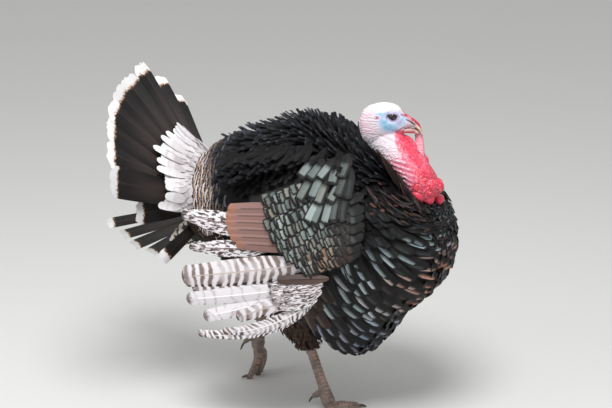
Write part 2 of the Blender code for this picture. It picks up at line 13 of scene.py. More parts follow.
import bmesh
import bpy
import numpy as np
from mathutils import Matrix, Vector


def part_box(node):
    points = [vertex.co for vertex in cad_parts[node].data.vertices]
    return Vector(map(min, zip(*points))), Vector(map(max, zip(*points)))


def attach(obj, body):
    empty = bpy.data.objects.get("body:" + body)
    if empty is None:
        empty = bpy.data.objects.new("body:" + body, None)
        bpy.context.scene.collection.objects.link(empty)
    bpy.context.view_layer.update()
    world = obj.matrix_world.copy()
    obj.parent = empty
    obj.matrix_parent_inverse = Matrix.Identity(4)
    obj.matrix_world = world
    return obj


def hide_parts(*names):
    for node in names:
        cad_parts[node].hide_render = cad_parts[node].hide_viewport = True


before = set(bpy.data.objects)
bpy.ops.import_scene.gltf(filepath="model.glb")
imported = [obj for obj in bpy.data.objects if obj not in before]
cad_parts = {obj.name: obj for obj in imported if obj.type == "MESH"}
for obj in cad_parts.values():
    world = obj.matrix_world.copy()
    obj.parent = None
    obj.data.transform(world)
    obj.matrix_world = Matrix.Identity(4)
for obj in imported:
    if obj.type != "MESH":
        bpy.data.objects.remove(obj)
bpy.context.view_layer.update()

# ---- the bird's own measures (metres)
BACK_S = (0.0, 0.1, 0.2, 0.36, 0.6, 0.73, 0.88, 1.0)
BACK_XZ = ((0.25, 0.505), (0.188, 0.548),
    (0.12, 0.584), (0.02, 0.632), (-0.13, 0.592), (-0.2, 0.561), (-0.262, 0.503), (-0.295, 0.43))
BREAST_S = (0.0, 0.06, 0.14, 0.24, 0.38, 0.54, 0.66, 0.78, 0.88, 1.0)
BREAST_XZ = ((0.25, 0.505), (0.295, 0.465), (0.33, 0.4), (0.32, 0.318),
    (0.24, 0.231), (0.134, 0.123), (0.035, 0.185), (-0.09, 0.262), (-0.205, 0.325), (-0.295, 0.43))
WIDTH_S = (0.0, 0.06, 0.14, 0.24, 0.38, 0.54, 0.66, 0.78, 0.9, 1.0)
WIDTH_Y = (0.004, 0.075, 0.13, 0.168, 0.195, 0.192, 0.18, 0.15, 0.092, 0.004)
COAT = 0.017  # depth of the trunk's coat over the skin
FEATHER_THICK = 0.0009
BODY_VOXEL, HEAD_VOXEL, FOOT_VOXEL = 0.008, 0.0013, 0.0017  # cubes the skin's solids are remade in
CIRCLE = 2 * math.pi
SEED = 31  # of the feathers' small disorder

HEAD_ORIGIN = np.array((0.1976, 0.005, 0.6509))  # between the eyes; a runs forward and v up
HEAD_SIZE, HEAD_YAW = 0.975, math.radians(22.0)
HEAD_FORE = np.array((math.cos(HEAD_YAW), math.sin(HEAD_YAW), 0.0))
HEAD_LEFT = np.array((-math.sin(HEAD_YAW), math.cos(HEAD_YAW), 0.0))
EYE_RADIUS, EYE_SIDE = 0.0085, 0.0165
SKULL_A = (-0.072, -0.066, -0.055, -0.039, -0.02, -0.005, 0.01, 0.025)
SKULL_TOP = (-0.014, 0.0035, 0.0155, 0.0225, 0.026, 0.025, 0.0195, 0.006)
SKULL_UNDER = (-0.022, -0.046, -0.059, -0.063, -0.058, -0.052, -0.046, -0.04)
SKULL_HALF = (0.006, 0.016, 0.0225, 0.026, 0.0265, 0.0245, 0.0205, 0.013)
BILL_A = (0.0254, 0.036, 0.046, 0.054, 0.06, 0.064)
BILL_TOP = (-0.0025, -0.009, -0.0158, -0.0228, -0.031, -0.0405)
BILL_UNDER = (-0.0272, -0.0256, -0.0268, -0.0308, -0.037, -0.044)
BILL_HALF = (0.0112, 0.0098, 0.0082, 0.0064, 0.0046, 0.0016)
JAW_A = (0.0254, 0.036, 0.046, 0.0555)
JAW_TOP = (-0.0286, -0.0276, -0.029, -0.0358)
JAW_UNDER = (-0.04, -0.0398, -0.0402, -0.0412)
JAW_HALF = (0.0098, 0.0085, 0.0064, 0.003)

NECK_LINE = ((0.142, 0.0, 0.622), (0.17, 0.003, 0.604),
    (0.206, 0.005, 0.576), (0.243, 0.003, 0.54), (0.272, 0.0, 0.507), (0.285, 0.0, 0.48))
NECK_HALF_FORE = (0.022, 0.031, 0.034, 0.034, 0.031, 0.018)
NECK_HALF_SIDE = (0.02, 0.029, 0.033, 0.036, 0.038, 0.026)

WING_LIE_Z = (0.16, 0.18, 0.3, 0.36, 0.44, 0.5, 0.55, 0.62)
WING_LIE_Y = (0.238, 0.235, 0.217, 0.207, 0.191, 0.171, 0.142, 0.095)
WING_DEPTH = 0.012

TAIL_ROOT = np.array((-0.199, 0.0, 0.416))
FAN_UP = (-0.482, 0.034, 0.875)
FAN_SIDE = (-0.08, -0.997, -0.005)
RIGHT_DEGREES = (10.7, 22.0, 29.9, 37.1, 45.5, 55.8, 67.6)
RIGHT_LENGTHS = (0.357, 0.356, 0.36, 0.361, 0.354, 0.351, 0.352)
RIGHT_OUTER = (((-0.3, -0.945, 0.1), 0.252), ((-0.2, -0.9, -0.39), 0.212))
LEFT_FEATHERS = (((-0.628, 0.22, 0.746), 0.335), ((-0.645, 0.499, 0.578), 0.335), ((-0.634, 0.598, 0.491),
    0.335), ((-0.76, 0.6, 0.2), 0.34), ((-0.9, 0.4, -0.05), 0.345), ((-0.938, 0.184, -0.293), 0.35),
    ((-0.889, 0.283, -0.36), 0.35), ((-0.836, 0.327, -0.44), 0.35), ((-0.763, 0.417, -0.494), 0.35))

# Half widths of the fan feathers from the right side to the left, and how far each is rolled
# from its neighbours' surface towards the front.
TAIL_HALF = (0.016, 0.025, 0.034,
    0.034, 0.034, 0.033, 0.032, 0.03, 0.024, 0.026, 0.023, 0.017, 0.03, 0.026, 0.012, 0.013, 0.014, 0.014)
TAIL_TURN = (0.3, 0, 0, 0, 0, 0, 0.1, 0.25, 0.4, 0.65, 0.65, 0.65, 0, 0, 0.3, 0.3, 0.3, 0.3)

RIGHT_HOCK, RIGHT_JOINT = (0.024, -0.068, 0.184), (0.082, -0.063, 0.022)
LEFT_HOCK, LEFT_JOINT = (-0.128, 0.07, 0.235), (-0.152, 0.07, 0.078)
TOE_HALF = 0.0085
MIDDLE_TOE, SIDE_TOE, HIND_TOE = 0.092, 0.068, 0.034
CLAW, PRESSED = 0.017, 0.001  # length of a claw; how far a toe's pad is pressed flat

CAMERA_ROUND, CAMERA_RISE = 25, 15  # degrees
CAMERA_LENS_MM, CAMERA_AWAY, CAMERA_AIM_UP = 123.1, 4.62, 0.4216


# ---- arithmetic
def unit(v):
    """Vectors divided by their lengths."""
    v = np.asarray(v, float)
    return v / np.maximum(np.linalg.norm(v, axis=-1, keepdims=True), 1e-12)


def ease(lo, hi, x):
    """0 below lo, 1 above hi, and 3t^2 - 2t^3 between them."""
    t = np.clip((np.asarray(x, float) - lo) / (hi - lo), 0, 1)
    return t * t * (3 - 2 * t)


def fall(lo, hi, x):
    """1 below lo, 0 above hi, and eased between them."""
    return 1 - ease(lo, hi, x)


def bell(x, middle, width):
    """1 at the middle, 1/e at this width to either side, and 0 far off."""
    return np.exp(-((x - middle) / width) ** 2)


def length_of(v):
    """Lengths of vectors."""
    return np.linalg.norm(v, axis=-1)


def curve(knots, values, at):
    """A smooth curve through the values at the knots: cubic pieces whose slopes are the
    differences of the neighbouring values. at may have any shape; a last axis is added."""
    knots = np.asarray(knots, float)
    values = np.asarray(values, float).reshape(len(knots), -1)
    at = np.asarray(at, float)
    slope = np.gradient(values, knots, axis=0)
    i = np.clip(np.searchsorted(knots, at, side="right") - 1, 0, len(knots) - 2)
    step = (knots[i + 1] - knots[i])[..., None]
    t = (at - knots[i])[..., None] / step
    return ((2 * t**3 - 3 * t**2 + 1) * values[i] + (t**3 - 2 * t**2 + t)
        * step * slope[i] + (3 * t**2 - 2 * t**3) * values[i + 1] + (t**3 - t**2) * step * slope[i + 1])


def track(values, t):
    """A smooth curve through the values, which stand evenly from 0 to 1."""
    return curve(np.linspace(0, 1, len(values)), values, t)


def head_place(a, side, v):
    """A place in the head's own axes, in the bird's."""
    a, side, v = np.broadcast_arrays(*(np.asarray(w, float) * HEAD_SIZE for w in (a, side, v)))
    return (HEAD_ORIGIN
        + a[..., None] * HEAD_FORE + side[..., None] * HEAD_LEFT + v[..., None] * np.array((0, 0, 1.0)))


def head_measure(points):
    """The way back: (a, side, v) of points of the bird."""
    rel = (points - HEAD_ORIGIN) / HEAD_SIZE
    a = rel[..., 0] * HEAD_FORE[0] + rel[..., 1] * HEAD_FORE[1]
    side = -rel[..., 0] * HEAD_FORE[1] + rel[..., 1] * HEAD_FORE[0]
    return a, side, rel[..., 2]


EYE_MIDDLE = (np.array(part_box("eye_right")[0]) + np.array(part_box("eye_right")[1])) / 2
OFFSET = EYE_MIDDLE - head_place(0.0, -EYE_SIDE, 0.0)
OFFSET[2] = 0.0


def chance(cells, salt):
    """A repeatable number from 0 to 1 for each whole-number cell: the cell's three numbers are
    multiplied by large odd numbers, mixed and cut to 24 bits."""
    k = (cells.astype(np.int64) * np.array([73856093, 19349663, 83492791])).sum(axis=-1)
    k = (k ^ (salt * 2654435761)) & 0x7FFFFFFF
    k = (k ^ (k >> 13)) * 1274126177 & 0x7FFFFFFF
    k = (k ^ (k >> 16)) * 2246822519 & 0xFFFFFF
    return k / float(0xFFFFFF)


def noise(points, size, salt=0):
    """Smooth noise from 0 to 1: chance at the corners of a cubic lattice of this size, blended
    by the eased place inside the cell."""
    at = points / size
    cell = np.floor(at)
    t = ease(0, 1, at - cell)
    total = np.zeros(points.shape[:-1])
    for dx in (0, 1):
        for dy in (0, 1):
            for dz in (0, 1):
                corner = np.array((dx, dy, dz))
                weight = np.prod(np.where(corner == 1, t, 1 - t), axis=-1)
                total += weight * chance(cell + corner, salt)
    return total


def pebbles(points, size, salt=0):
    """Distance to the nearest of one scattered point in each cell of this size, as a share of
    the size: 0 at a pebble's middle, about 1 between pebbles."""
    at = points / size
    cell = np.floor(at)
    best = np.full(points.shape[:-1], 9.0)
    for dx in (-1, 0, 1):
        for dy in (-1, 0, 1):
            for dz in (-1, 0, 1):
                other = cell + np.array((dx, dy, dz))
                spot = other + np.stack([chance(other, salt + k) for k in (1, 2, 3)], axis=-1)
                best = np.minimum(best, ((at - spot) ** 2).sum(axis=-1))
    return np.sqrt(best)


# ---- surfaces that feathers follow
def trunk(s, turn):
    """The coat's outer surface: an ellipse on each line from the back to the breast; turn is 0
    on the back, pi on the breast and positive on the left."""
    s = np.clip(s, 0.004, 0.996)
    back, breast = curve(BACK_S, BACK_XZ, s), curve(BREAST_S, BREAST_XZ, s)
    middle, reach = (back + breast) / 2, (back - breast) / 2
    xz = middle + reach * np.cos(turn)[..., None]
    return np.stack([xz[..., 0], curve(WIDTH_S, WIDTH_Y, s)[..., 0] * np.sin(turn), xz[..., 1]], axis=-1)


def wing_face(side):
    """A wing's outer face as a surface of (x, side times the height): its distance from the
    middle of the bird follows a curve of the height, plus the depth of its feathers."""
    def place(x, up):
        """The point at this place of the face."""
        z = np.clip(side * up, 0.165, 0.615)
        away = curve(WING_LIE_Z, WING_LIE_Y, z)[..., 0] + WING_DEPTH
        return np.stack([x, side * away, side * up], axis=-1)

    return place


def neck_frame(t):
    """Middle, direction, forward-up and left vectors of the neck at each t from 0 to 1."""
    middle = track(NECK_LINE, t)
    along = unit(track(NECK_LINE, t + 0.01) - track(NECK_LINE, t - 0.01))
    left = unit(np.array((0, 1.0, 0)) - along * along[..., 1:2])
    return middle, along, np.cross(left, along), left


def cape(t, turn):
    """Plumage round the back of the neck: ellipses about its line, widening downwards; turn is
    0 at the nape and positive on the left."""
    middle, _, rear, left = neck_frame(t)
    fore = track(NECK_HALF_FORE, np.clip(t, 0.05, 0.9))[..., 0] + 0.004 + 0.008 * t
    side = track(NECK_HALF_SIDE, np.clip(t, 0.05, 0.9))[..., 0] + 0.005 + 0.022 * t
    return (middle + rear * (fore * np.cos(turn))[..., None] + left * (side * np.sin(turn))[..., None])


def limb(line, half, along):
    """A tube about a smooth line, as a surface of (t, turn); half gives its half depth and half
    width, and turn 0 is square to the left of the way along."""
    left = unit(np.array((0, 1.0, 0)) - along * along[1])
    front = np.cross(left, along)

    def place(t, turn):
        """The point at this place of the tube."""
        t = np.clip(t, 0.0, 1.0)
        middle, size = track(line, t), track(half, t)
        return (middle + front
            * (size[..., 0] * np.cos(turn))[..., None] + left * (size[..., 1] * np.sin(turn))[..., None])

    return place


def thigh_surface(knee, hock):
    """A tapering tube from the knee to below the hock."""
    knee, hock = np.asarray(knee, float), np.asarray(hock, float)
    line = (knee,
        knee * 0.6 + hock * 0.4 + (0.004, 0, 0), hock * 0.75 + knee * 0.25, hock - (-0.012, 0, 0.044))
    half = ((0.074, 0.056), (0.068, 0.052), (0.052, 0.04), (0.02, 0.018))
    return limb(line, half, unit(hock - knee))


ARM_LINE = ((0.1, 0.066, 0.52), (0.15, 0.104, 0.514),
    (0.18, 0.146, 0.49), (0.192, 0.176, 0.45), (0.188, 0.19, 0.408), (0.158, 0.198, 0.372))
ARM_HALF = ((0.018, 0.014), (0.018, 0.014), (0.017, 0.014), (0.016, 0.015), (0.015, 0.015), (0.009, 0.01))


def wing_arm(side, spare):
    """The folded arm under the wing's leading edge, from the shoulder round the wrist."""
    line = np.array(ARM_LINE) * (1, side, 1)
    return limb(line, np.array(ARM_HALF) + spare, unit(line[-1] - line[1]))


def slopes(surface, p, q):
    """The surface's point, its two derivatives by central differences, and its outward normal."""
    d = 1e-3
    sp = (surface(p + d, q) - surface(p - d, q)) / (2 * d)
    sq = (surface(p, q + d) - surface(p, q - d)) / (2 * d)
    return surface(p, q), sp, sq, unit(np.cross(sq, sp))


def steps_for(move, sp, sq):
    """The change of the two parameters that gives the tangent part of a move."""
    a, b, c = (sp * sp).sum(-1), (sp * sq).sum(-1), (sq * sq).sum(-1)
    u, v = (move * sp).sum(-1), (move * sq).sum(-1)
    area = np.maximum(a * c - b * b, 1e-10)
    return (c * u - b * v) / area, (a * v - b * u) / area


def even(surface, fixed, lo, hi, pitch, along_p, shift=0.0):
    """Parameter values from lo to hi whose points on the surface are pitch apart."""
    fine = np.linspace(lo, hi, 240)
    other = np.full_like(fine, fixed)
    points = surface(fine, other) if along_p else surface(other, fine)
    run = np.concatenate([[0], np.cumsum(length_of(np.diff(points, axis=0)))])
    count = max(int(run[-1] / pitch), 1)
    return np.interp((np.arange(count) + 0.5 + shift) * run[-1] / count, run, fine)


def rows_of(surface, guide, p_span, q_span, row_pitch, pitch, rng, rows_along_q=False):
    """Feather roots in rows like roof tiles: row values evenly apart along a guiding line, roots
    evenly apart in each row, odd rows moved by half a place, and a little disorder."""
    if rows_along_q:
        values = even(surface, guide, *q_span, row_pitch, False)
        rows = [(even(surface, v, *p_span, pitch, True, 0.5 * (k % 2)), v) for k, v in enumerate(values)]
        p = np.concatenate([r for r, _ in rows])
        q = np.concatenate([np.full_like(r, v) for r, v in rows])
    else:
        values = even(surface, guide, *p_span, row_pitch, True)
        rows = [(v, even(surface, v, *q_span, pitch, False, 0.5 * (k % 2))) for k, v in enumerate(values)]
        p = np.concatenate([np.full_like(r, v) for v, r in rows])
        q = np.concatenate([r for _, r in rows])
    _, sp, sq, _ = slopes(surface, p, q)
    p = p + rng.normal(0, 0.1 * pitch, p.shape) / np.maximum(length_of(sp), 0.05)
    q = q + rng.normal(0, 0.1 * pitch, q.shape) / np.maximum(length_of(sq), 0.02)
    return p, q


# ---- meshes
def placed(name, data):
    """A new object at the origin, in the scene."""
    obj = bpy.data.objects.new(name, data)
    bpy.context.scene.collection.objects.link(obj)
    return obj


def ride(obj, slot, *nodes):
    """Fixes a piece to the one body and hides the nodes it stands for; slot is not used."""
    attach(obj, "root")
    if nodes:
        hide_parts(*nodes)
    return obj


def piece(name, points, quads, material, fields=None, maps=None, rim=None):
    """A mesh object from arrays of places and of quads. fields are attributes of its points,
    maps are UV maps given by point, and rim marks the points between which an edge is sharp."""
    mesh = bpy.data.meshes.new(name)
    mesh.vertices.add(len(points))
    mesh.vertices.foreach_set("co", (points + OFFSET).astype(np.float32).ravel())
    mesh.loops.add(quads.size)
    mesh.loops.foreach_set("vertex_index", quads.astype(np.int32).ravel())
    mesh.polygons.add(len(quads))
    mesh.polygons.foreach_set("loop_start", np.arange(0, quads.size, 4, dtype=np.int32))
    mesh.polygons.foreach_set("use_smooth", np.ones(len(quads), bool))
    mesh.update(calc_edges=True)
    for key, values in (fields or {}).items():
        kind = {1: "FLOAT", 3: "FLOAT_VECTOR", 4: "FLOAT_COLOR"}[values.shape[1]]
        layer = mesh.attributes.new(key, kind, "POINT")
        values = np.ascontiguousarray(values, np.float32).ravel()
        layer.data.foreach_set({1: "value", 3: "vector", 4: "color"}[len(values) // len(points)], values)
    for key, values in (maps or {}).items():
        layer = mesh.uv_layers.new(name=key)
        layer.data.foreach_set("uv", values[quads.ravel()].astype(np.float32).ravel())
    if rim is not None:
        ends = np.empty(len(mesh.edges) * 2, np.int32)
        mesh.edges.foreach_get("vertices", ends)
        sharp = mesh.attributes.new("sharp_edge", "BOOLEAN", "EDGE")
        sharp.data.foreach_set("value", rim[ends].reshape(-1, 2).all(axis=1))
    mesh.materials.append(material)
    return placed(name, mesh)


def solid(name, rings, material=None):
    """A closed skin over a stack of rings, each end closed on its middle point."""
    rings = np.asarray(rings, float)
    n, m, _ = rings.shape
    points = np.concatenate([rings.reshape(-1, 3), rings[:1].mean(axis=1), rings[-1:].mean(axis=1)])
    i, j = np.meshgrid(np.arange(n - 1), np.arange(m), indexing="ij")
    k = (j + 1) % m
    sides = np.stack([i * m + j, i * m + k, (i + 1) * m + k, (i + 1) * m + j], -1).reshape(-1, 4)
    j, k = np.arange(m), (np.arange(m) + 1) % m
    first = np.stack([np.full(m, n * m), k, j], -1)
    last = np.stack([np.full(m, n * m + 1), (n - 1) * m + j, (n - 1) * m + k], -1)
    corners = points[sides[:, :3]]
    outward = np.einsum("ij,ij->i", np.cross(corners[:, 1] - corners[:, 0], corners[:, 2] - corners[:, 0]),
        corners.mean(axis=1) - points.mean(axis=0)).sum() > 0
    faces = sides.tolist() + first.tolist() + last.tolist()
    if not outward:
        faces = [f[::-1] for f in faces]
    mesh = bpy.data.meshes.new(name)
    mesh.from_pydata((points + OFFSET).tolist(), [], faces)
    mesh.polygons.foreach_set("use_smooth", np.ones(len(mesh.polygons), bool))
    if material:
        mesh.materials.append(material)
    return placed(name, mesh)


def tube_rings(line, half_up, half_side, side, around, steps, ripple=None):
    """Rings square to a smooth line: ellipses, scaled by 1 + ripple(t, turn) where given."""
    at = np.linspace(0, 1, steps)
    middle = track(line, at)
    along = unit(np.gradient(middle, axis=0))
    side = unit(side - along * (along @ np.asarray(side, float))[:, None])
    up = np.cross(along, side)
    turn = np.linspace(0, CIRCLE, around, endpoint=False)
    grow = 1.0 if ripple is None else 1 + ripple(at[:, None], turn[None])[..., None]
    return (middle[:, None] + grow * (up[:, None] * track(half_up, at)[:, None] * np.cos(turn)[None,
        :, None] + side[:, None] * track(half_side, at)[:, None] * np.sin(turn)[None, :, None]))


def applied(obj):
    """The object with its modifiers made part of its mesh."""
    graph = bpy.context.evaluated_depsgraph_get()
    obj.data = bpy.data.meshes.new_from_object(obj.evaluated_get(graph))
    obj.modifiers.clear()
    return obj


def fused(name, parts, voxel):
    """The parts as one closed surface, remade in cubes of this size and smoothed a little."""
    joined = bmesh.new()
    for part in parts:
        joined.from_mesh(part.data)
        bpy.data.objects.remove(part, do_unlink=True)
    mesh = bpy.data.meshes.new(name)
    joined.to_mesh(mesh)
    joined.free()
    obj = placed(name, mesh)
    remesh = obj.modifiers.new("remesh", "REMESH")
    remesh.mode, remesh.voxel_size, remesh.use_smooth_shade = "VOXEL", voxel, True
    smooth = obj.modifiers.new("smooth", "SMOOTH")
    smooth.factor, smooth.iterations = 0.5, 3
    return applied(obj)


def places(obj):
    """The mesh's points, in the bird's own axes."""
    co = np.empty(len(obj.data.vertices) * 3, np.float32)
    obj.data.vertices.foreach_get("co", co)
    return co.reshape(-1, 3).astype(float) - OFFSET


def normals_of(obj):
    """The outward normals at the mesh's points."""
    n = np.empty(len(obj.data.vertices) * 3, np.float32)
    obj.data.vertex_normals.foreach_get("vector", n)
    return n.reshape(-1, 3).astype(float)


def move_points(obj, points):
    """Puts the mesh's points in these places of the bird's axes."""
    obj.data.vertices.foreach_set("co", (points + OFFSET).astype(np.float32).ravel())
    obj.data.update()


def united(obj, others):
    """The solid with the others joined to it, one after the other. One that touches nothing
    comes in as a shell of its own."""
    for other in others:
        change = obj.modifiers.new("unite", "BOOLEAN")
        change.operation, change.solver, change.object = "UNION", "MANIFOLD", other
        applied(obj)
        bpy.data.objects.remove(other, do_unlink=True)
    return obj


# ---- vanes
SMALL_T = np.array((0.0, 0.18, 0.4, 0.62, 0.8, 0.92, 1.0))
SMALL_W = np.array((-1.0, -0.5, 0.0, 0.5, 1.0))


def vane_quads(rows, cols, count):
    """Quads of count closed vanes: an upper grid and an under grid that share their rim."""
    top = np.arange(rows * cols).reshape(rows, cols)
    under = top.copy()
    under[1:-1, 1:-1] = rows * cols + np.arange((rows - 2) * (cols - 2)).reshape(rows - 2, -1)
    grids = [np.stack([g[:-1, :-1], g[:-1, 1:], g[1:, 1:], g[1:, :-1]], -1).reshape(-1, 4)
        for g in (top, under)]
    one = np.concatenate([grids[0], grids[1][:, ::-1]])
    size = rows * cols + (rows - 2) * (cols - 2)
    return (one[None] + size * np.arange(count)[:, None, None]).reshape(-1, 4), size


def both_faces(values):
    """Values of the upper grid, then those of the under grid inside its rim, by feather."""
    n, rest = len(values), values.shape[3:]
    return np.concatenate([values.reshape(n, -1, *rest), values[:, 1:-1, 1:-1].reshape(n, -1, *rest)],
        axis=1)


def vanes(name, top, normal, thick, t, w, size, colours, cells, cell_size, material, sky=1):
    """Joins feathers into one piece. top and normal are (feather, row, column, xyz); t and thick
    belong to the rows, w to the columns, and the under side lies thick below the upper. lie
    holds t, w times sky (1 or -1, so that the two sides of the bird match) and a number of the
    feather's own; vane is the place on the vane in metres; OFBake is a small patch for each
    feather."""
    count, rows, cols, _ = top.shape
    quads, each = vane_quads(rows, cols, count)
    points = both_faces(top)
    inner = top[:, 1:-1, 1:-1] - normal[:, 1:-1, 1:-1] * thick[None, 1:-1, None, None]
    points[:, rows * cols:] = inner.reshape(count, -1, 3)
    t, w = np.broadcast_to(t[:, None], top.shape[:3]), np.broadcast_to(w, top.shape[:3])
    own = np.broadcast_to(chance(np.stack([np.arange(count)] * 3, -1), len(name))[:, None, None],
        top.shape[:3])
    turned = w * np.broadcast_to(sky, count)[:, None, None]
    lie = both_faces(np.stack([t, turned, own], axis=-1)).reshape(-1, 3)
    length, half = size
    vane = np.stack([w * half[:, None, None], t * length[:, None, None]], axis=-1)
    patch = cells[:, None, None] + np.stack([w * 0.5, t - 0.5], axis=-1) * cell_size
    fields = {"lie": lie}
    for key, value in colours.items():
        value = np.broadcast_to(value[:, None], (count, each, 3)).reshape(-1, 3)
        fields[key] = np.concatenate([value, np.ones((len(value), 1))], axis=1)
    rim = np.zeros(each, bool)
    edge = np.ones((rows, cols), bool)
    edge[1:-1, 1:-1] = False
    rim[:rows * cols] = edge.ravel()
    return piece(name, points.reshape(-1, 3), quads, material,
        fields, {"OFBake": both_faces(patch).reshape(-1, 2), "vane": both_faces(vane).reshape(-1, 2)},
        np.tile(rim, count))


def laid(surface, p, q, way, length, half, depth, rise,
        camber=0.22, taper=0.25, blunt=0.1, bow=0.0, roll=0.0, rows=SMALL_T, cols=SMALL_W, lift_power=2.2):
    """Feathers that follow a surface. Each starts at (p, q), depth under it, and runs for its
    length at the angle way from the p direction towards the q direction; its half width swells
    from the quill, then narrows by taper; blunt rounds the tip's corners; its height over the
    surface goes from -depth to rise. Each grid point is moved in the root's tangent plane and
    dropped back on the surface by two steps of the parameters."""
    t, w = rows[None, :, None], cols[None, None, :]
    spread = lambda v: np.broadcast_to(np.asarray(v, float), p.shape)[:, None, None]
    way, length, half, depth, rise, bow, roll = (spread(v)
        for v in (way, length, half, depth, rise, bow, roll))
    root, sp, sq, normal = slopes(surface, p, q)
    first = unit(sp)
    second = unit(sq - first * (sq * first).sum(-1, keepdims=True))
    first, second, root = (v[:, None, None] for v in (first, second, root))
    swell = np.minimum(1, (t + 0.03) / 0.33) ** 0.55 * (1 - taper * ease(0.45, 1.0, t) ** 1.5)
    reach = length * (t - blunt * np.abs(w) ** 2.5 * t**6)
    aside = half * swell * w + bow * length * t**2
    ahead, across = np.cos(way), np.sin(way)
    move = ((ahead * reach - across * aside)[..., None]
        * first + (across * reach + ahead * aside)[..., None] * second)
    target = root + move
    dp, dq = steps_for(move, sp[:, None, None], sq[:, None, None])
    pp, qq = p[:, None, None] + dp, q[:, None, None] + dq
    point, sp2, sq2, _ = slopes(surface, pp, qq)
    dp, dq = steps_for(target - point, sp2, sq2)
    pp, qq = pp + np.clip(dp, -0.1, 0.1), qq + np.clip(dq, -0.4, 0.4)
    point, _, _, normal = slopes(surface, pp, qq)
    height = (-depth * (1 - t) ** 1.35 + rise * t**lift_power - camber * half * swell * w**2 + roll * aside)
    top = point + normal * height[..., None]
    return top, normal, (length[:, 0, 0], half[:, 0, 0])


# ---- finishes
def linear(code):
    """An sRGB hex colour as linear red, green and blue."""
    rgb = np.array([int(code[i:i + 2], 16) for i in (1, 3, 5)]) / 255
    return np.where(rgb <= 0.04045, rgb / 12.92, ((rgb + 0.055) / 1.055) ** 2.4)


def shades(codes, pick):
    """Linear colours along a list of hex colours, pick from 0 to 1."""
    table = np.array([linear(c) for c in codes])
    at = np.clip(pick, 0, 1) * (len(codes) - 1)
    low = np.minimum(at.astype(int), len(codes) - 2)
    return table[low] + (table[low + 1] - table[low]) * (at - low)[:, None]


def add(tree, kind, links=None, stops=(), **settings):
    """Adds a node of this kind, which may carry its operation; settings are its own, links go by
    input name or number to a value, a node (its first output) or an output, and stops are a
    colour ramp's (place, grey or rgb)."""
    kind, _, operation = kind.partition(" ")
    new = tree.nodes.new("ShaderNode" + kind)
    if operation:
        new.operation = operation
    for key, value in settings.items():
        setattr(new, key, value)
    for key, value in (links or {}).items():
        if isinstance(value, bpy.types.Node):
            value = value.outputs[0]
        if isinstance(value, bpy.types.NodeSocket):
            tree.links.new(value, new.inputs[key])
        else:
            new.inputs[key].default_value = value
    marks = new.color_ramp.elements if stops else ()
    while len(marks) < len(stops):
        marks.new(0.5)
    for mark, (place, value) in zip(marks, stops):
        mark.position = place
        mark.color = (value,) * 3 + (1,) if np.isscalar(value) else (*value, 1)
    return new


def finish(name, rough, **plain):
    """A new material with its Principled shader; plain values go on the shader's own sockets."""
    material = bpy.data.materials.new(name)
    material.use_nodes = True
    tree = material.node_tree
    shader = tree.nodes["Principled BSDF"]
    shader.inputs["Roughness"].default_value = rough
    for key, value in plain.items():
        shader.inputs[key.replace("_", " ")].default_value = value
    return material, tree, shader


def barbs(tree, shader, pitch_mm, depth_mm):
    """Fine ribs that slope forward from the shaft on both sides, as relief: a sine of the place
    along the vane less 1.2 times the distance from the shaft. Returns that slope, the distance
    and the wave. Real barbs are well under a millimetre apart; they are drawn 1.4 to 1.6 mm
    apart, as coarse as they need to be to show."""
    place = add(tree, "SeparateXYZ", {0: add(tree, "UVMap", uv_map="vane").outputs[0]})
    aside = add(tree, "Math ABSOLUTE", {0: place.outputs[0]})
    slope = add(tree, "Math MULTIPLY_ADD", {0: aside, 1: -1.2, 2: place.outputs[1]})
    turns = add(tree, "Math MULTIPLY", {0: slope, 1: 2000 * math.pi / pitch_mm})
    wave = add(tree, "Math SINE", {0: turns})
    relief = add(tree, "Bump", {"Height": wave, "Strength": 0.5, "Distance": depth_mm / 1000})
    tree.links.new(relief.outputs[0], shader.inputs["Normal"])
    return slope, aside, wave


def plumage(name, band, across, tip, rough=0.5, gloss=0.5, metal=0.0):
    """Contour feather: keratin grown as a vane of barbs. Dark pigment gives the ground, thin layers of
    keratin over it a bright metallic band, and wear a pale or dark fringe. On the breast, the back, the
    wing coverts and the scapulars the band's colour is painted sheen, the sky's reflection, and so is the
    back's grey-blue fringe; elsewhere it is the feather's own colour. band and tip are places along the
    vane, across is where the band shows over it."""
    material, tree, shader = finish(name, rough, Specular_IOR_Level=gloss)
    lie = add(tree, "SeparateXYZ", {0: add(tree, "Attribute", attribute_name="lie").outputs["Vector"]})
    _, _, wave = barbs(tree, shader, 1.4, 0.25)
    where = add(tree, "TexCoord").outputs["Object"]
    # Ragged edges of about 3 mm, and each feather's band a little higher or lower.
    ragged = add(tree, "TexNoise", {"Vector": where, "Scale": 330.0, "Detail": 2.0})
    t = add(tree, "Math MULTIPLY_ADD", {0: ragged.outputs[0], 1: 0.16, 2: lie.outputs[0]})
    t = add(tree, "Math MULTIPLY_ADD", {0: lie.outputs[2], 1: 0.08, 2: t})
    t = add(tree, "Math SUBTRACT", {0: t, 1: 0.12})
    w = add(tree, "Math MULTIPLY_ADD", {0: lie.outputs[1], 1: 0.5, 2: 0.5})
    along, side = (add(tree, "ValToRGB", {0: at}, stops=list(zip(places, (0.0, 1.0, 1.0, 0.0))))
        for at, places in ((t, band), (w, across)))
    mask = add(tree, "Math MULTIPLY", {0: along, 1: side})
    ground, bright, fringe = (add(tree, "Attribute", attribute_name=key)
        for key in ("ground", "band", "fringe"))
    end = add(tree, "ValToRGB", {0: t}, stops=[(tip[0], 0.0), (tip[1], 1.0)])
    lines = add(tree, "Math MULTIPLY_ADD", {0: wave, 1: 0.1, 2: 0.95})
    colour = ground
    for factor, top, blend in ((mask, bright, "MIX"), (end, fringe, "MIX"), (1.0, lines, "MULTIPLY")):
        colour = add(tree,
            "Mix", {"Factor": factor, 6: colour, 7: top}, data_type="RGBA", blend_type=blend).outputs[2]
    tree.links.new(colour, shader.inputs["Base Color"])
    if metal:
        metallic = add(tree, "Math MULTIPLY", {0: mask, 1: metal})
        tree.links.new(metallic.outputs[0], shader.inputs["Metallic"])
    return material


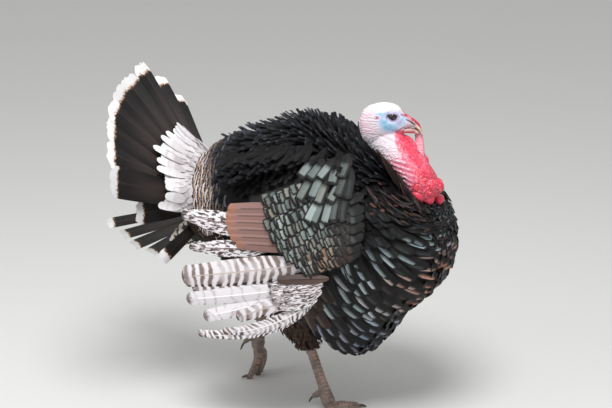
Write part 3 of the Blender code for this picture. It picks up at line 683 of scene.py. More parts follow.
def quill_material(name, stops, bars=None, shaft="#8d8480", edge=0.0, rough=0.48, spots=None):
    """Flight feather: keratin grown as a stiff vane on a hard shaft, with a dull gloss. stops are colours
    by distance from the tip (0 to 1 over 0.4 m); bars is (pitch_mm, raggedness, dark share, dark colour,
    slope of the bars across the vane); spots is (length_mm, width_mm, share, colour) of blots drawn out
    along the vane; edge darkens the vane's sides with painted shade, where the neighbouring feathers
    overlap them."""
    material, tree, shader = finish(name, rough, Specular_IOR_Level=0.35)
    lie = add(tree, "SeparateXYZ", {0: add(tree, "Attribute", attribute_name="lie").outputs["Vector"]})
    slope, aside, wave = barbs(tree, shader, 1.6, 0.3)
    where = add(tree, "TexCoord").outputs["Object"]
    # Worn edges of about 4 mm.
    ragged = add(tree, "TexNoise", {"Vector": where, "Scale": 240.0, "Detail": 3.0})
    from_tip = add(tree, "Attribute", attribute_name="from_tip").outputs["Fac"]
    worn = add(tree, "Math MULTIPLY_ADD", {0: ragged.outputs[0], 1: 0.02, 2: from_tip})
    worn = add(tree, "Math MULTIPLY", {0: worn, 1: 2.5})
    colour = add(tree, "ValToRGB", {0: worn}, stops=[(place, linear(code)) for place, code in stops])
    inside = add(tree, "ValToRGB", {0: worn}, stops=[(0.085, 0.0), (0.1, 1.0)])
    tint = add(tree, "Attribute", attribute_name="ground")
    layers = [(1.0, tint, "MULTIPLY")]
    if bars:
        pitch, raggedness, share, dark, slant = bars
        patch = add(tree, "TexNoise", {"Vector": where, "Scale": 620.0 / pitch, "Detail": 1.5})
        across = add(tree, "Math MULTIPLY_ADD", {0: aside, 1: slant, 2: from_tip})
        shifted = add(tree,
            "Math MULTIPLY_ADD", {0: patch.outputs[0], 1: raggedness * pitch / 250, 2: across})
        turns = add(tree, "Math MULTIPLY", {0: shifted, 1: 2000 * math.pi / pitch})
        wavy = add(tree, "Math SINE", {0: turns})
        fine = add(tree, "Math MULTIPLY_ADD", {0: ragged.outputs[0], 1: 1.3, 2: wavy})
        level = add(tree, "Math MULTIPLY_ADD", {0: fine, 1: 0.25, 2: 0.34})
        mask = add(tree, "ValToRGB", {0: level}, stops=[(1 - share - 0.12, 0.0), (1 - share + 0.12, 1.0)])
        faded = add(tree, "ValToRGB", {0: patch.outputs[0]}, stops=[(0.34, 0.3), (0.58, 1.0)])
        mask = add(tree, "Math MULTIPLY", {0: mask, 1: faded})
        # Each bar ends in a dark dash on the vane's lower edge.
        lower = add(tree, "Math MULTIPLY", {0: lie.outputs[1], 1: -1.0})
        low = add(tree, "ValToRGB", {0: lower}, stops=[(0.76, 0.0), (0.84, 1.0)])
        dash = add(tree, "Math MULTIPLY", {0: low, 1: mask})
        layers += [(mask, (*linear(dark), 1), "MIX"), (dash, (*linear("#1e1715"), 1), "MIX")]
    if spots:
        long, wide, share, dark = spots
        apart = add(tree, "Math MULTIPLY", {0: tint.outputs["Fac"], 1: 60.0})
        along = add(tree, "Math MULTIPLY", {0: slope, 1: 1000 / long})
        across = add(tree, "Math MULTIPLY", {0: lie.outputs[1], 1: 16 / wide})
        place = add(tree, "CombineXYZ", {0: along, 1: across, 2: apart})
        blot = add(tree, "TexNoise", {"Vector": place, "Scale": 1.0, "Detail": 2.0})
        mask = add(tree,
            "ValToRGB", {0: blot.outputs[0]}, stops=[(0.62 - 0.3 * share, 0.0), (0.7 - 0.3 * share, 1.0)])
        layers.append((mask, (*linear(dark), 1), "MIX"))
    # Painted shade: the vane's sides darken towards black where the neighbouring feathers overlap them.
    if edge:
        near = add(tree, "Math ABSOLUTE", {0: lie.outputs[1]})
        rim = add(tree, "ValToRGB", {0: near}, stops=[(0.25, 0.0), (0.95, edge)])
        rim = add(tree, "Math MULTIPLY", {0: rim, 1: inside})
        layers.append((rim, (0.006, 0.005, 0.006, 1), "MIX"))
    # The shaft's line, about 2 mm wide, up to the worn tip.
    far = add(tree, "Math MULTIPLY", {0: aside, 1: 300.0})
    line = add(tree, "ValToRGB", {0: far}, stops=[(0.3, 1.0), (0.42, 0.0)])
    line = add(tree, "Math MULTIPLY", {0: line, 1: inside})
    lines = add(tree, "Math MULTIPLY_ADD", {0: wave, 1: 0.08, 2: 0.96})
    layers += [(line, (*linear(shaft), 1), "MIX"), (1.0, lines, "MULTIPLY")]
    colour = colour.outputs[0]
    for factor, top, blend in layers:
        colour = add(tree,
            "Mix", {"Factor": factor, 6: colour, 7: top}, data_type="RGBA", blend_type=blend).outputs[2]
    tree.links.new(colour, shader.inputs["Base Color"])
    return material


def painted(name, rough, bump_mm, grain_mm, **plain):
    """Skin, horn or scale with its colour on its points. Grain breaks the colour up and stands in
    low relief; the real grain is finer, and grain_mm is as coarse as it needs to be to show."""
    material, tree, shader = finish(name, rough, **plain)
    where = add(tree, "TexCoord").outputs["Object"]
    grain = add(tree, "TexNoise", {"Vector": where, "Scale": 1000 / grain_mm, "Detail": 4.0})
    tone = add(tree, "ValToRGB", {0: grain}, stops=[(0.3, 0.86), (0.7, 1.1)])
    paint = add(tree, "Attribute", attribute_name="paint")
    colour = add(tree, "Mix", {"Factor": 1.0, 6: paint, 7: tone}, data_type="RGBA", blend_type="MULTIPLY")
    tree.links.new(colour.outputs[2], shader.inputs["Base Color"])
    relief = add(tree, "Bump", {"Height": grain.outputs[0], "Strength": 0.6, "Distance": bump_mm / 1000})
    tree.links.new(relief.outputs[0], shader.inputs["Normal"])
    return material


# ---- the skin
def near_line(points, line, steps=60):
    """Distance to a smooth line and the place along it, from 0 to 1."""
    t = np.linspace(0, 1, steps)
    spots = track(line, t)
    best, where = np.full(len(points), 9.0), np.zeros(len(points))
    for at, spot in zip(t, spots):
        apart = ((points - spot) ** 2).sum(axis=1)
        closer = apart < best
        best[closer], where[closer] = apart[closer], at
    return np.sqrt(best), where


def mixed(base, colour, amount):
    """Linear colours moved towards a hex colour by an amount from 0 to 1."""
    return base + (linear(colour) - base) * np.clip(amount, 0, 1)[:, None]


def layered(points, ground, coats):
    """Paint for the points: the ground colour under coats of (hex colour, amount from 0 to 1)."""
    paint = np.tile(linear(ground), (len(points), 1))
    for code, amount in coats:
        paint = mixed(paint, code, amount)
    return paint


def spot(a, v, middle, radii):
    """1 in the middle of an upright ellipse on the side of the head, 0 outside it (mm)."""
    far = np.hypot((a * 1000 - middle[0]) / radii[0], (v * 1000 - middle[1]) / radii[1])
    return fall(0.45, 1.1, far)


SNOOD_LINE = [head_place(*p) for p in ((0.015, 0.001, 0.005),
    (0.029, 0.004, -0.005), (0.041, 0.0075, -0.0135), (0.05, 0.0115, -0.022), (0.055, 0.013, -0.034),
    (0.0572, 0.008, -0.052), (0.0605, 0.0, -0.072), (0.062, -0.008, -0.09), (0.064, -0.012, -0.106))]
HEAD_SIDEWAYS = (-0.37, 0.93, 0.0)
SNOOD_FORE = (0.0042, 0.005, 0.0054, 0.006, 0.0072, 0.0082, 0.008, 0.0072, 0.0046)
SNOOD_SIDE = (0.005, 0.0062, 0.006, 0.0056, 0.0056, 0.0056, 0.0056, 0.0054, 0.004)
DEWLAP_LINE = [head_place(*p) for p in ((0.012, 0, -0.044),
    (0.024, 0, -0.062), (0.038, 0, -0.088), (0.056, 0, -0.112), (0.066, 0, -0.124))]
KNOBS = (((0.269, -0.026, 0.4905), 0.015),
    ((0.287, -0.012, 0.483), 0.0125), ((0.2986, 0.02, 0.4759), 0.0105), ((0.3, 0.004, 0.507), 0.0145),
    ((0.294, -0.014, 0.512), 0.014), ((0.294, 0.014, 0.509), 0.014), ((0.27, -0.029, 0.51), 0.011),
    ((0.28, -0.024, 0.522), 0.009), ((0.292, -0.022, 0.498), 0.0075), ((0.272, -0.03, 0.494), 0.007))


def upright_rings(a, top, under, half, steps, around, full):
    """Rounded rings standing across the head between an upper and a lower outline."""
    at = np.linspace(a[0], a[-1], steps)
    top, under, half = (curve(a, values, at) for values in (top, under, half))
    turn = np.linspace(0, CIRCLE, around, endpoint=False)
    across = np.sign(np.sin(turn)) * np.abs(np.sin(turn)) ** (2 / full)
    up = np.sign(np.cos(turn)) * np.abs(np.cos(turn)) ** (2 / full)
    v = (top + under) / 2 + (top - under) / 2 * up[None]
    return head_place(at[:, None], half * across[None], v)


def ball_rings(centre, radii, around=24, steps=14):
    """Rings of an ellipsoid, by latitude and turn."""
    lat = np.linspace(0.1, math.pi - 0.1, steps)
    turn = np.linspace(0, CIRCLE, around, endpoint=False)
    grid = np.stack([np.sin(lat)[:, None] * np.cos(turn),
        np.sin(lat)[:, None] * np.sin(turn), np.cos(lat)[:, None] * np.ones(around)], axis=-1)
    return np.asarray(centre) + grid * np.asarray(radii)


def head_skin():
    """Head, neck, dewlap, snood and caruncles as one surface."""
    folds = lambda t, turn: 0.035 * np.sin(t
        * 110 + 0.8 * np.sin(turn)) - 0.1 * ease(0.4, 0.6, t) * bell(turn, 4.4, 0.35)
    parts = [solid("skull", upright_rings(SKULL_A, SKULL_TOP, SKULL_UNDER, SKULL_HALF, 40, 40, 2.3)),
        solid("neck", tube_rings(NECK_LINE, NECK_HALF_FORE, NECK_HALF_SIDE, (0, 1, 0), 40, 40)),
        solid("dewlap", tube_rings(DEWLAP_LINE, (0.006, 0.019, 0.024, 0.026, 0.014),
        (0.0045, 0.0085, 0.0115, 0.0135, 0.008), HEAD_SIDEWAYS, 32, 30)),
        solid("snood", tube_rings(SNOOD_LINE, SNOOD_FORE, SNOOD_SIDE, HEAD_SIDEWAYS, 28, 64, folds)),
        solid("lores", upright_rings((0.008, 0.02, 0.03, 0.0385), (0.0195, 0.0085, -0.003, -0.011),
        (-0.042, -0.03, -0.0285, -0.0262), (0.0185, 0.015, 0.0119, 0.0095), 24, 40, 2.0)),
        solid("mass", ball_rings((0.28, 0.0, 0.505), (0.027, 0.033, 0.023)))]
    parts += [solid("knob", ball_rings(place, (size * 1.03,) * 3)) for place, size in KNOBS]
    return fused("head_skin", parts, HEAD_VOXEL)


def shape_head(points, out):
    """Moves the head's points along their normals for its folds, and colours them. mm_a and mm_v
    are places in the head's own axes in millimetres, the knobs' places are the bird's, and each
    term is a bump or a dent with a soft edge."""
    a, side, v = head_measure(points)
    mm_a, mm_v, level = a * 1000, v * 1000, np.abs(side) * 1000
    snood_far, snood_at = near_line(points, SNOOD_LINE)
    snood = fall(0.0072, 0.0094, snood_far)
    lobes = np.min([length_of(points - c) - r for c, r in KNOBS], axis=0)
    lobes = np.minimum(lobes, length_of((points - (0.28, 0, 0.505)) / (1, 1.22, 0.85)) - 0.027)
    knobs = fall(0.0005, 0.0045, lobes)
    slant = mm_a - np.interp(mm_v,
        (-122, -88, -70, -55, -44), (49, 28, 17, 8, 5)) + 7 * (noise(points, 0.0055, 26) - 0.5)
    dewlap = ease(-2.5, 2.5, slant) * fall(-44, -37, mm_v) * (1 - snood) * (1 - knobs)
    neck = fall(-62, -46, mm_v + 0.28 * (mm_a + 20))
    face = (1 - neck) * (1 - snood)
    lower = fall(-108, -72, mm_v - 0.2 * mm_a)

    # Lids, orbit and brow round each eye; the ear; the crease behind the jaw.
    round_eye = ((np.abs(mm_a) / 9.3) ** 1.7 + (np.abs(mm_v) / 6.5) ** 1.7) ** (1 / 1.7)
    beside = ease(8, 13, level)
    lift = -0.8 * bell(round_eye, 1.75, 0.25) + 0.9 * bell(round_eye, 2.5, 0.45) * (v > 0)
    ear = np.hypot((mm_a + 33) / 4.0, (mm_v + 3) / 3.4)
    lift += 0.7 * bell(ear, 1.5, 0.5) - 2.4 * bell(ear, 0, 0.75)
    line = mm_v - np.interp(mm_a, (-40, -22, 0, 13, 20), (-36, -43, -52, -58, -60))
    lift -= 1.3 * bell(line, 0, 2.4) * ease(-34, -24, mm_a) * fall(12, 18, mm_a)
    gape = mm_v - np.interp(mm_a, (4, 9, 20, 26), (-33, -34, -27, -25))
    lift -= 1.1 * bell(gape, 0, 1.2) * ease(3, 8, mm_a)
    lift = lift * beside * (1 - neck) * (1 - snood)

    # Wrinkles on the crown, warts on the neck, folds low on it, pebbled red knobs.
    wrinkle = np.abs(noise(points * (1, 1, 1.9), 0.0042, 3) - 0.5)
    fine = noise(points, 0.0026, 11)
    wart = fall(0.15, 0.62, pebbles(points * (1, 1, 1.5), 0.0052, 5))
    small = fall(0.1, 0.65, pebbles(points, 0.0034, 6))
    furrow = np.sin(mm_v * 0.62 + 3.2 * noise(points, 0.016, 8) + mm_a * 0.1)
    upper = face * ease(6, 14, np.maximum(mm_v, -mm_a - 20))
    rear = ease(22, 40, -mm_a)
    lift += upper * (0.8 * (0.5 - wrinkle) + 0.5 * small) + face * 0.35 * (fine - 0.5)
    lift += face * rear * 0.6 * np.sin(mm_v * 1.15 + 8.0 * noise(points, 0.01, 18))
    bare = neck * (1 - dewlap) * (1 - knobs) * (1 - snood)
    lift += bare * (1.5 * wart + 0.5 * small + 0.8 * lower * furrow)
    bulb = fall(0.0, 0.003, np.min([length_of(points - c) - r for c, r in KNOBS[:3]], axis=0))
    lift += knobs * (1.2 * small + 1.0 * wart - 0.7) * (1 - 0.75 * bulb) + 0.6 * knobs * bulb
    crease = noise(points * (1.6, 1.6, 0.35), 0.0036, 27)
    lift += dewlap * (0.9 * noise(points * (1.6, 1.6, 0.5), 0.012, 4) + 0.35 * small + 0.7 * crease)
    lift += snood * 0.3 * np.sin(snood_at * 170 + fine * 2)
    points = points + out * (lift / 1000)[:, None]

    # The lids hug the eyeball; inside their opening the skin sinks just behind it.
    radius = EYE_RADIUS / HEAD_SIZE
    ball = EYE_SIDE + np.sqrt(np.maximum((radius + 0.0013) ** 2 - a**2 - v**2, 0))
    inside = fall(0.9, 1.03, round_eye) * beside * (1 - neck)
    hug = fall(1.08, 1.62, round_eye) * beside * (1 - neck)
    goal = ball + 0.0004 * bell(round_eye, 1.13, 0.09) - 0.0036 * inside
    goal = np.sign(side) * (goal - np.abs(side)) * hug * HEAD_SIZE
    points = points + goal[:, None] * HEAD_LEFT

    blue = np.maximum.reduce([spot(a, v, (-8, -24), (23, 13)), 1.1 * spot(a, v, (-22, 6), (17, 5)),
        0.8 * spot(a, v, (-19, -12), (12, 16)), 0.6 * spot(a, v, (18, -12), (13, 11))])
    streak = mm_v - np.interp(mm_a, (14, 24, 34, 42), (6, 2, -5, -11))
    nostril = mm_v - np.interp(mm_a, (24, 30, 37, 43), (-4.0, -8.5, -12.3, -16.0))
    between = bare * (1 - wart) * (0.25 + 0.75 * lower) * ease(-45, 5, mm_a)
    paint = layered(points, "#d9cfd8", (
        ("#f1eff3", face * ease(5, 16, mm_v) * (1 - 0.5 * ease(-30, -60, mm_a))),
        ("#e3a9ba", face * (0.25 + 0.5 * ease(-30, -62, mm_a)) * fall(0.05, 0.17, wrinkle)),
        ("#c9dcf2", face * spot(a, v, (2, -8), (46, 25)) * 0.9),
        ("#7db4d6", face * blue * (0.15 + 1.05 * noise(points, 0.008, 21))),
        ("#5b9cbc", face * 0.9 * spot(a, v, (-9, -23), (11, 7)) * noise(points, 0.005, 23)),
        ("#7d90c8", face * 0.6 * spot(a, v, (4, -29), (11, 4))),
        ("#b9a6cf", face * 0.6 * spot(a, v, (14, -12), (9, 8))),
        ("#c23d5c", face * 0.95 * bell(streak, 0, 3.0)
            * ease(12, 20, mm_a) * ease(0.3, 0.5, noise(points * (1, 1, 2.2), 0.005, 9))),
        ("#d9b2c0", face * ease(27, 35, mm_a) * fall(-12, -4, mm_v) * 0.8),
        ("#e0526e", face * ease(5, 10, mm_a) * fall(-33, -28, mm_v) * 0.9),
        # Painted shade along the nostril's slit where it runs onto the face.
        ("#2a161b", face * bell(nostril, 0, 1.5) * ease(26, 31, mm_a) * ease(3, 6, level)),
        ("#b0485c", face * beside * bell(gape, 0, 1.6) * ease(3, 8, mm_a)),
        ("#b8485a", face * bell(ear, 0, 1.0)),
        ("#a98bb4", beside * face * bell(round_eye, 1.45, 0.25) * 0.75),
        ("#4a2c45", beside * face * bell(round_eye, 1.06, 0.13)),
        # Painted shade: the sunken skin just behind the eyeball, seen in the gap inside the lids, is nearly
        # black.
        ("#1c1216", inside),
        ("#f5eef4", bare * (0.4 + 0.6 * wart) * (1 - 0.5 * lower)),
        ("#e88aa2", between * 0.9),
        ("#e05a78", bare * lower * ease(-0.2, 0.8, -furrow) * 0.85),
        ("#cf3f5c", bare * ease(-10, 3, slant) * ease(0.35, 0.6, noise(points, 0.007, 14)) * 0.75),
        ("#8e8088", bare * fall(-60, -30, mm_a - 0.5 * (mm_v + 40)) * 0.45 * ease(0.4, 0.7, fine)),
        ("#e63e5c", dewlap),
        ("#f4708a", dewlap * ease(0.4, 0.85, noise(points, 0.014, 15)) * 0.8),
        ("#cf2b48", dewlap * fall(-118, -98, mm_v) * 0.6),
        ("#ffc3ce", dewlap * small * 0.3),
        # Painted shade in the dewlap's low furrows.
        ("#b81f3d", dewlap * fall(0.28, 0.42, crease) * 0.55),
        # Painted highlight along the dewlap's front edge.
        ("#f7a3b4", dewlap * bell(slant, 4, 1.6) * 0.6),
        ("#e2344f", knobs),
        # Painted highlights on the knobs' small pebbles.
        ("#f2738a", knobs * small * 0.45),
        # Painted shade between the beads.
        ("#9c1c33", knobs * fall(0.0, 0.5, wart + small) * 0.35),
        # Painted highlights on the tops of the beads.
        ("#ffb4bf", knobs * ease(0.6, 0.95, wart) * 0.65),
        ("#e23c58", knobs * bulb * 0.85),
        # Painted highlight on the upper faces of the smooth bulbs.
        ("#ff93a1", knobs * bulb * ease(0.2, 0.9, out[:, 2]) * 0.5),
        # Painted shade along the border between the knobs and the dewlap, where its fold overhangs them.
        ("#8f1a32", np.clip(knobs * (1 - knobs) * 4, 0, 1) * ease(-4, 2, slant) * 0.5),
        ("#c8304d", snood),
        ("#e5a9b9",
            snood * np.maximum(ease(0.4, 0.55, snood_at) * ease(0.2, 0.6, -out @ np.array(HEAD_SIDEWAYS)),
            fall(0.3, 0.4, snood_at) * ease(0.45, 0.65, noise(points, 0.004, 17))) * 0.8)))
    red = np.maximum.reduce([snood, dewlap, knobs])
    return points, paint, red


def toe_line(joint, heading, length, half):
    """Four points of a toe that lies on the ground, each as high as the toe is thick there."""
    out = np.array((math.cos(heading), math.sin(heading), 0.0))
    line = [np.asarray(joint) + out * length * t for t in (0.0, 0.3, 0.65, 1.0)]
    for place, thick in zip(line, half):
        place[2] = thick - PRESSED
    return line


def leg_lines(word, hock, joint, heel_up):
    """The shank's line, and for each toe its line, half widths, claw way and claw seat."""
    hock, joint = np.asarray(hock, float), np.asarray(joint, float)
    inner = 1 if word == "right" else -1
    shank = joint - hock
    toes, half = [], (TOE_HALF + 0.0025, TOE_HALF + 0.001, TOE_HALF, TOE_HALF - 0.0025)
    for heading, length in ((0.05, MIDDLE_TOE), (0.62, SIDE_TOE), (-0.56, SIDE_TOE)):
        if heel_up:
            fan = math.sin(heading)
            end = np.array((joint[0] - 0.02
                + 0.012 * math.cos(heading) * length / SIDE_TOE, joint[1] + fan * length * 0.75, -PRESSED))
            middle = (joint + end) / 2 + np.array((0.01, fan * 0.004, 0.004))
            line = [joint, joint * 0.55 + middle * 0.45, middle, end]
            toes.append((line, half, unit((-1.0, 0.5 * fan, -0.2)), end + (0, 0, 0.0075), (1.0, 0, 0)))
        else:
            line = toe_line(joint, heading, length, half)
            toes.append((line, half, unit(line[-1] - line[-2]), line[-1], (0, 0, 1.0)))
    back = unit(-shank * 0.3 + np.array((-1.0, 0.25 * inner, 0)))
    start = joint - 0.1 * shank
    down = np.array((0, 0, -1.0 if not heel_up else -0.8))
    hind = [start, start + back * 0.016 + down * 0.004, start
        + back * 0.026 + down * 0.012, start + back * HIND_TOE + down * (0.0165 if not heel_up else 0.022)]
    way = unit(unit(hind[-1] - hind[-2]) + np.array((0, 0, -0.5)))
    toes.append((hind, (0.008, 0.0068, 0.006, 0.0048), way, hind[-1], (0, 0, 1.0)))
    line = (hock + (0.004, 0, 0.03), hock - (0.003, 0, 0.01),
        hock + 0.35 * shank, hock + 0.75 * shank, joint, joint + 0.05 * shank + (0.002, 0, 0))
    return line, toes, shank, inner


def feet_skin():
    """Shanks and toes, remade as one closed surface each, with flat soles."""
    parts = []
    for word, hock, joint, heel_up in LEGS:
        line, toes, _, _ = leg_lines(word, hock, joint, heel_up)
        parts.append(solid("shank", tube_rings(line, (0.013, 0.015, 0.011, 0.011, 0.015, 0.012),
            (0.011, 0.013, 0.0095, 0.01, 0.014, 0.011), (0, 1, 0), 24, 60)))
        for toe, half, _, _, facing in toes:
            sideways = np.cross(unit(toe[-1] - toe[0]), facing)
            pads = lambda t, turn: -0.07 * np.cos(t * 19) * (0.4 - 0.6 * np.cos(turn))
            parts.append(solid("toe", tube_rings(toe, half, half, sideways, 20, 40, pads)))
    return fused("feet_skin", parts, FOOT_VOXEL)


def shape_feet(points, out):
    """Wide plates down the front of each shank, cross plates on the toes and small round scales
    elsewhere: the lift is a saw tooth along the bone times how much a point faces forward."""
    lift, front, tooth = np.zeros(len(points)), np.zeros(len(points)), np.zeros(len(points))
    for word, hock, joint, heel_up in LEGS:
        line, toes, shank, _ = leg_lines(word, hock, joint, heel_up)
        length = np.linalg.norm(shank)
        along = (points - hock) @ unit(shank)
        far, _ = near_line(points, line)
        here = (far < 0.02) & (along < length * 0.94)
        ahead = unit(np.array((1.0, 0, 0)) - unit(shank) * unit(shank)[0])
        facing = ease(0.1, 0.55, out @ ahead)
        turn = (along / 0.0088 + 0.12 * np.abs(out[:, 1])) % 1.0
        front[here] = facing[here]
        tooth[here] = turn[here]
        for toe, _, _, _, up in toes:
            far, at = near_line(points, toe, 40)
            run = np.linalg.norm(toe[-1] - toe[0])
            here = (far < 0.0125) & ~((points - hock) @ unit(shank) < length * 0.9)
            facing = ease(0.25, 0.65, out @ np.asarray(up))
            front[here] = facing[here]
            tooth[here] = ((at * run / 0.0052) % 1.0)[here]
    edge = np.minimum(tooth, 1 - tooth)
    lift += front * (0.9 * ease(0, 0.18, edge) + 0.5 * tooth - 0.5)
    scale = pebbles(points, 0.004, 31)
    lift += (1 - front) * 0.8 * fall(0.25, 0.75, scale)
    points = points + out * (lift / 1000)[:, None]
    points[:, 2] = np.maximum(points[:, 2], 0.0)
    paint = layered(points, "#6b5d56", (
        ("#94837a", noise(points, 0.011, 32)),
        ("#3d2f2b", (1 - front) * ease(0.4, 0.9, scale) * 0.7),
        ("#a5897d", front * ease(0.45, 0.75, noise(points, 0.018, 33)) * 0.9),
        ("#ae8463", front * ease(0.6, 0.88, noise(points, 0.009, 34)) * 0.6),
        ("#33241f", front * fall(0.0, 0.13, edge) * 0.85),
        ("#4b3d38", fall(0.0005, 0.008, points[:, 2]) * 0.5)))
    return points, paint


def numbered_points(obj, name, values):
    """Keeps a number for each point of the mesh."""
    layer = obj.data.attributes.new(name, "FLOAT", "POINT")
    layer.data.foreach_set("value", values.astype(np.float32).ravel())


def painted_points(obj, colours):
    """Keeps a colour for each point of the mesh."""
    layer = obj.data.attributes.new("paint", "FLOAT_COLOR", "POINT")
    rgba = np.concatenate([colours, np.ones((len(colours), 1))], axis=1)
    layer.data.foreach_set("color", rgba.astype(np.float32).ravel())


LEGS = (("right", RIGHT_HOCK, RIGHT_JOINT, False), ("left", LEFT_HOCK, LEFT_JOINT, True))
KNEES = {"right": (0.012, -0.085, 0.275), "left": (-0.068, 0.087, 0.3)}


def tube_grid(steps):
    """Values of t and turn for the rings of a limb."""
    return np.meshgrid(np.linspace(0, 1, steps), np.linspace(0, CIRCLE, 24, endpoint=False), indexing="ij")


def build_skin():
    """The skin: the trunk less the depth of its coat, thighs, rump and folded arms as one solid,
    joined with the feet. The head and neck are in the same piece but touch nothing: they stay a
    closed shell of their own."""
    s = np.linspace(0.045, 0.945, 44)
    turn = np.linspace(0, CIRCLE, 56, endpoint=False)
    s, turn = np.meshgrid(s, turn, indexing="ij")
    point, _, _, normal = slopes(trunk, s, turn)
    body = [solid("body", point - normal * COAT)]
    for word, hock, _, _ in LEGS:
        line = thigh_surface(KNEES[word], hock)(*tube_grid(16))
        middle = line.mean(axis=1, keepdims=True)
        shrink = np.interp(np.linspace(0, 1, 16), (0, 0.7, 1), (0.8, 0.78, 0.7))
        body.append(solid("thigh", middle + (line - middle) * shrink[:, None, None]))
    body.append(solid("rump", tube_rings((TAIL_ROOT + (0.03, 0, -0.01), TAIL_ROOT + (-0.03, 0, 0.005),
        TAIL_ROOT + (-0.065, 0, 0.02)), (0.055, 0.045, 0.012), (0.06, 0.06, 0.02), (0, 1, 0), 28, 14)))
    body += [solid("arm", wing_arm(side, 0.0)(*tube_grid(24))) for side in (-1, 1)]
    body = fused("body_skin", body, BODY_VOXEL)
    head = head_skin()
    shaped, paint, red = shape_head(places(head), normals_of(head))
    move_points(head, shaped)
    painted_points(head, paint)
    numbered_points(head, "moist", red)
    feet = feet_skin()
    shaped, paint = shape_feet(places(feet), normals_of(feet))
    move_points(feet, shaped)
    painted_points(feet, paint)
    painted_points(body, layered(places(body), "#0d0b0b", ()))
    skin = united(body, [head, feet])
    skin.name = "skin"
    skin.data.materials.clear()
    skin.data.materials.append(bare_skin())
    ride(skin, "bare_skin", "mantle", "breast", "belly", "rump", "head",
        "neck", "dewlap", "snood", "caruncles", "thigh_right", "thigh_left", "foot_right", "foot_left")
    return skin


def bare_skin():
    """Bare skin, grown: soft and slightly moist, so light goes a few millimetres in and comes out
    pink. The red flesh is tight and wet, and shines more."""
    material = painted("bare_skin", 0.42, 0.22, 1.1, Subsurface_Weight=0.12,
        Subsurface_Scale=0.004, Subsurface_Radius=(1.0, 0.35, 0.25), Specular_IOR_Level=0.45)
    tree = material.node_tree
    moist = add(tree, "Attribute", attribute_name="moist")
    rough = add(tree, "ValToRGB", {0: moist.outputs["Fac"]}, stops=[(0.0, 0.5), (1.0, 0.3)])
    tree.links.new(rough.outputs[0], tree.nodes["Principled BSDF"].inputs["Roughness"])
    return material


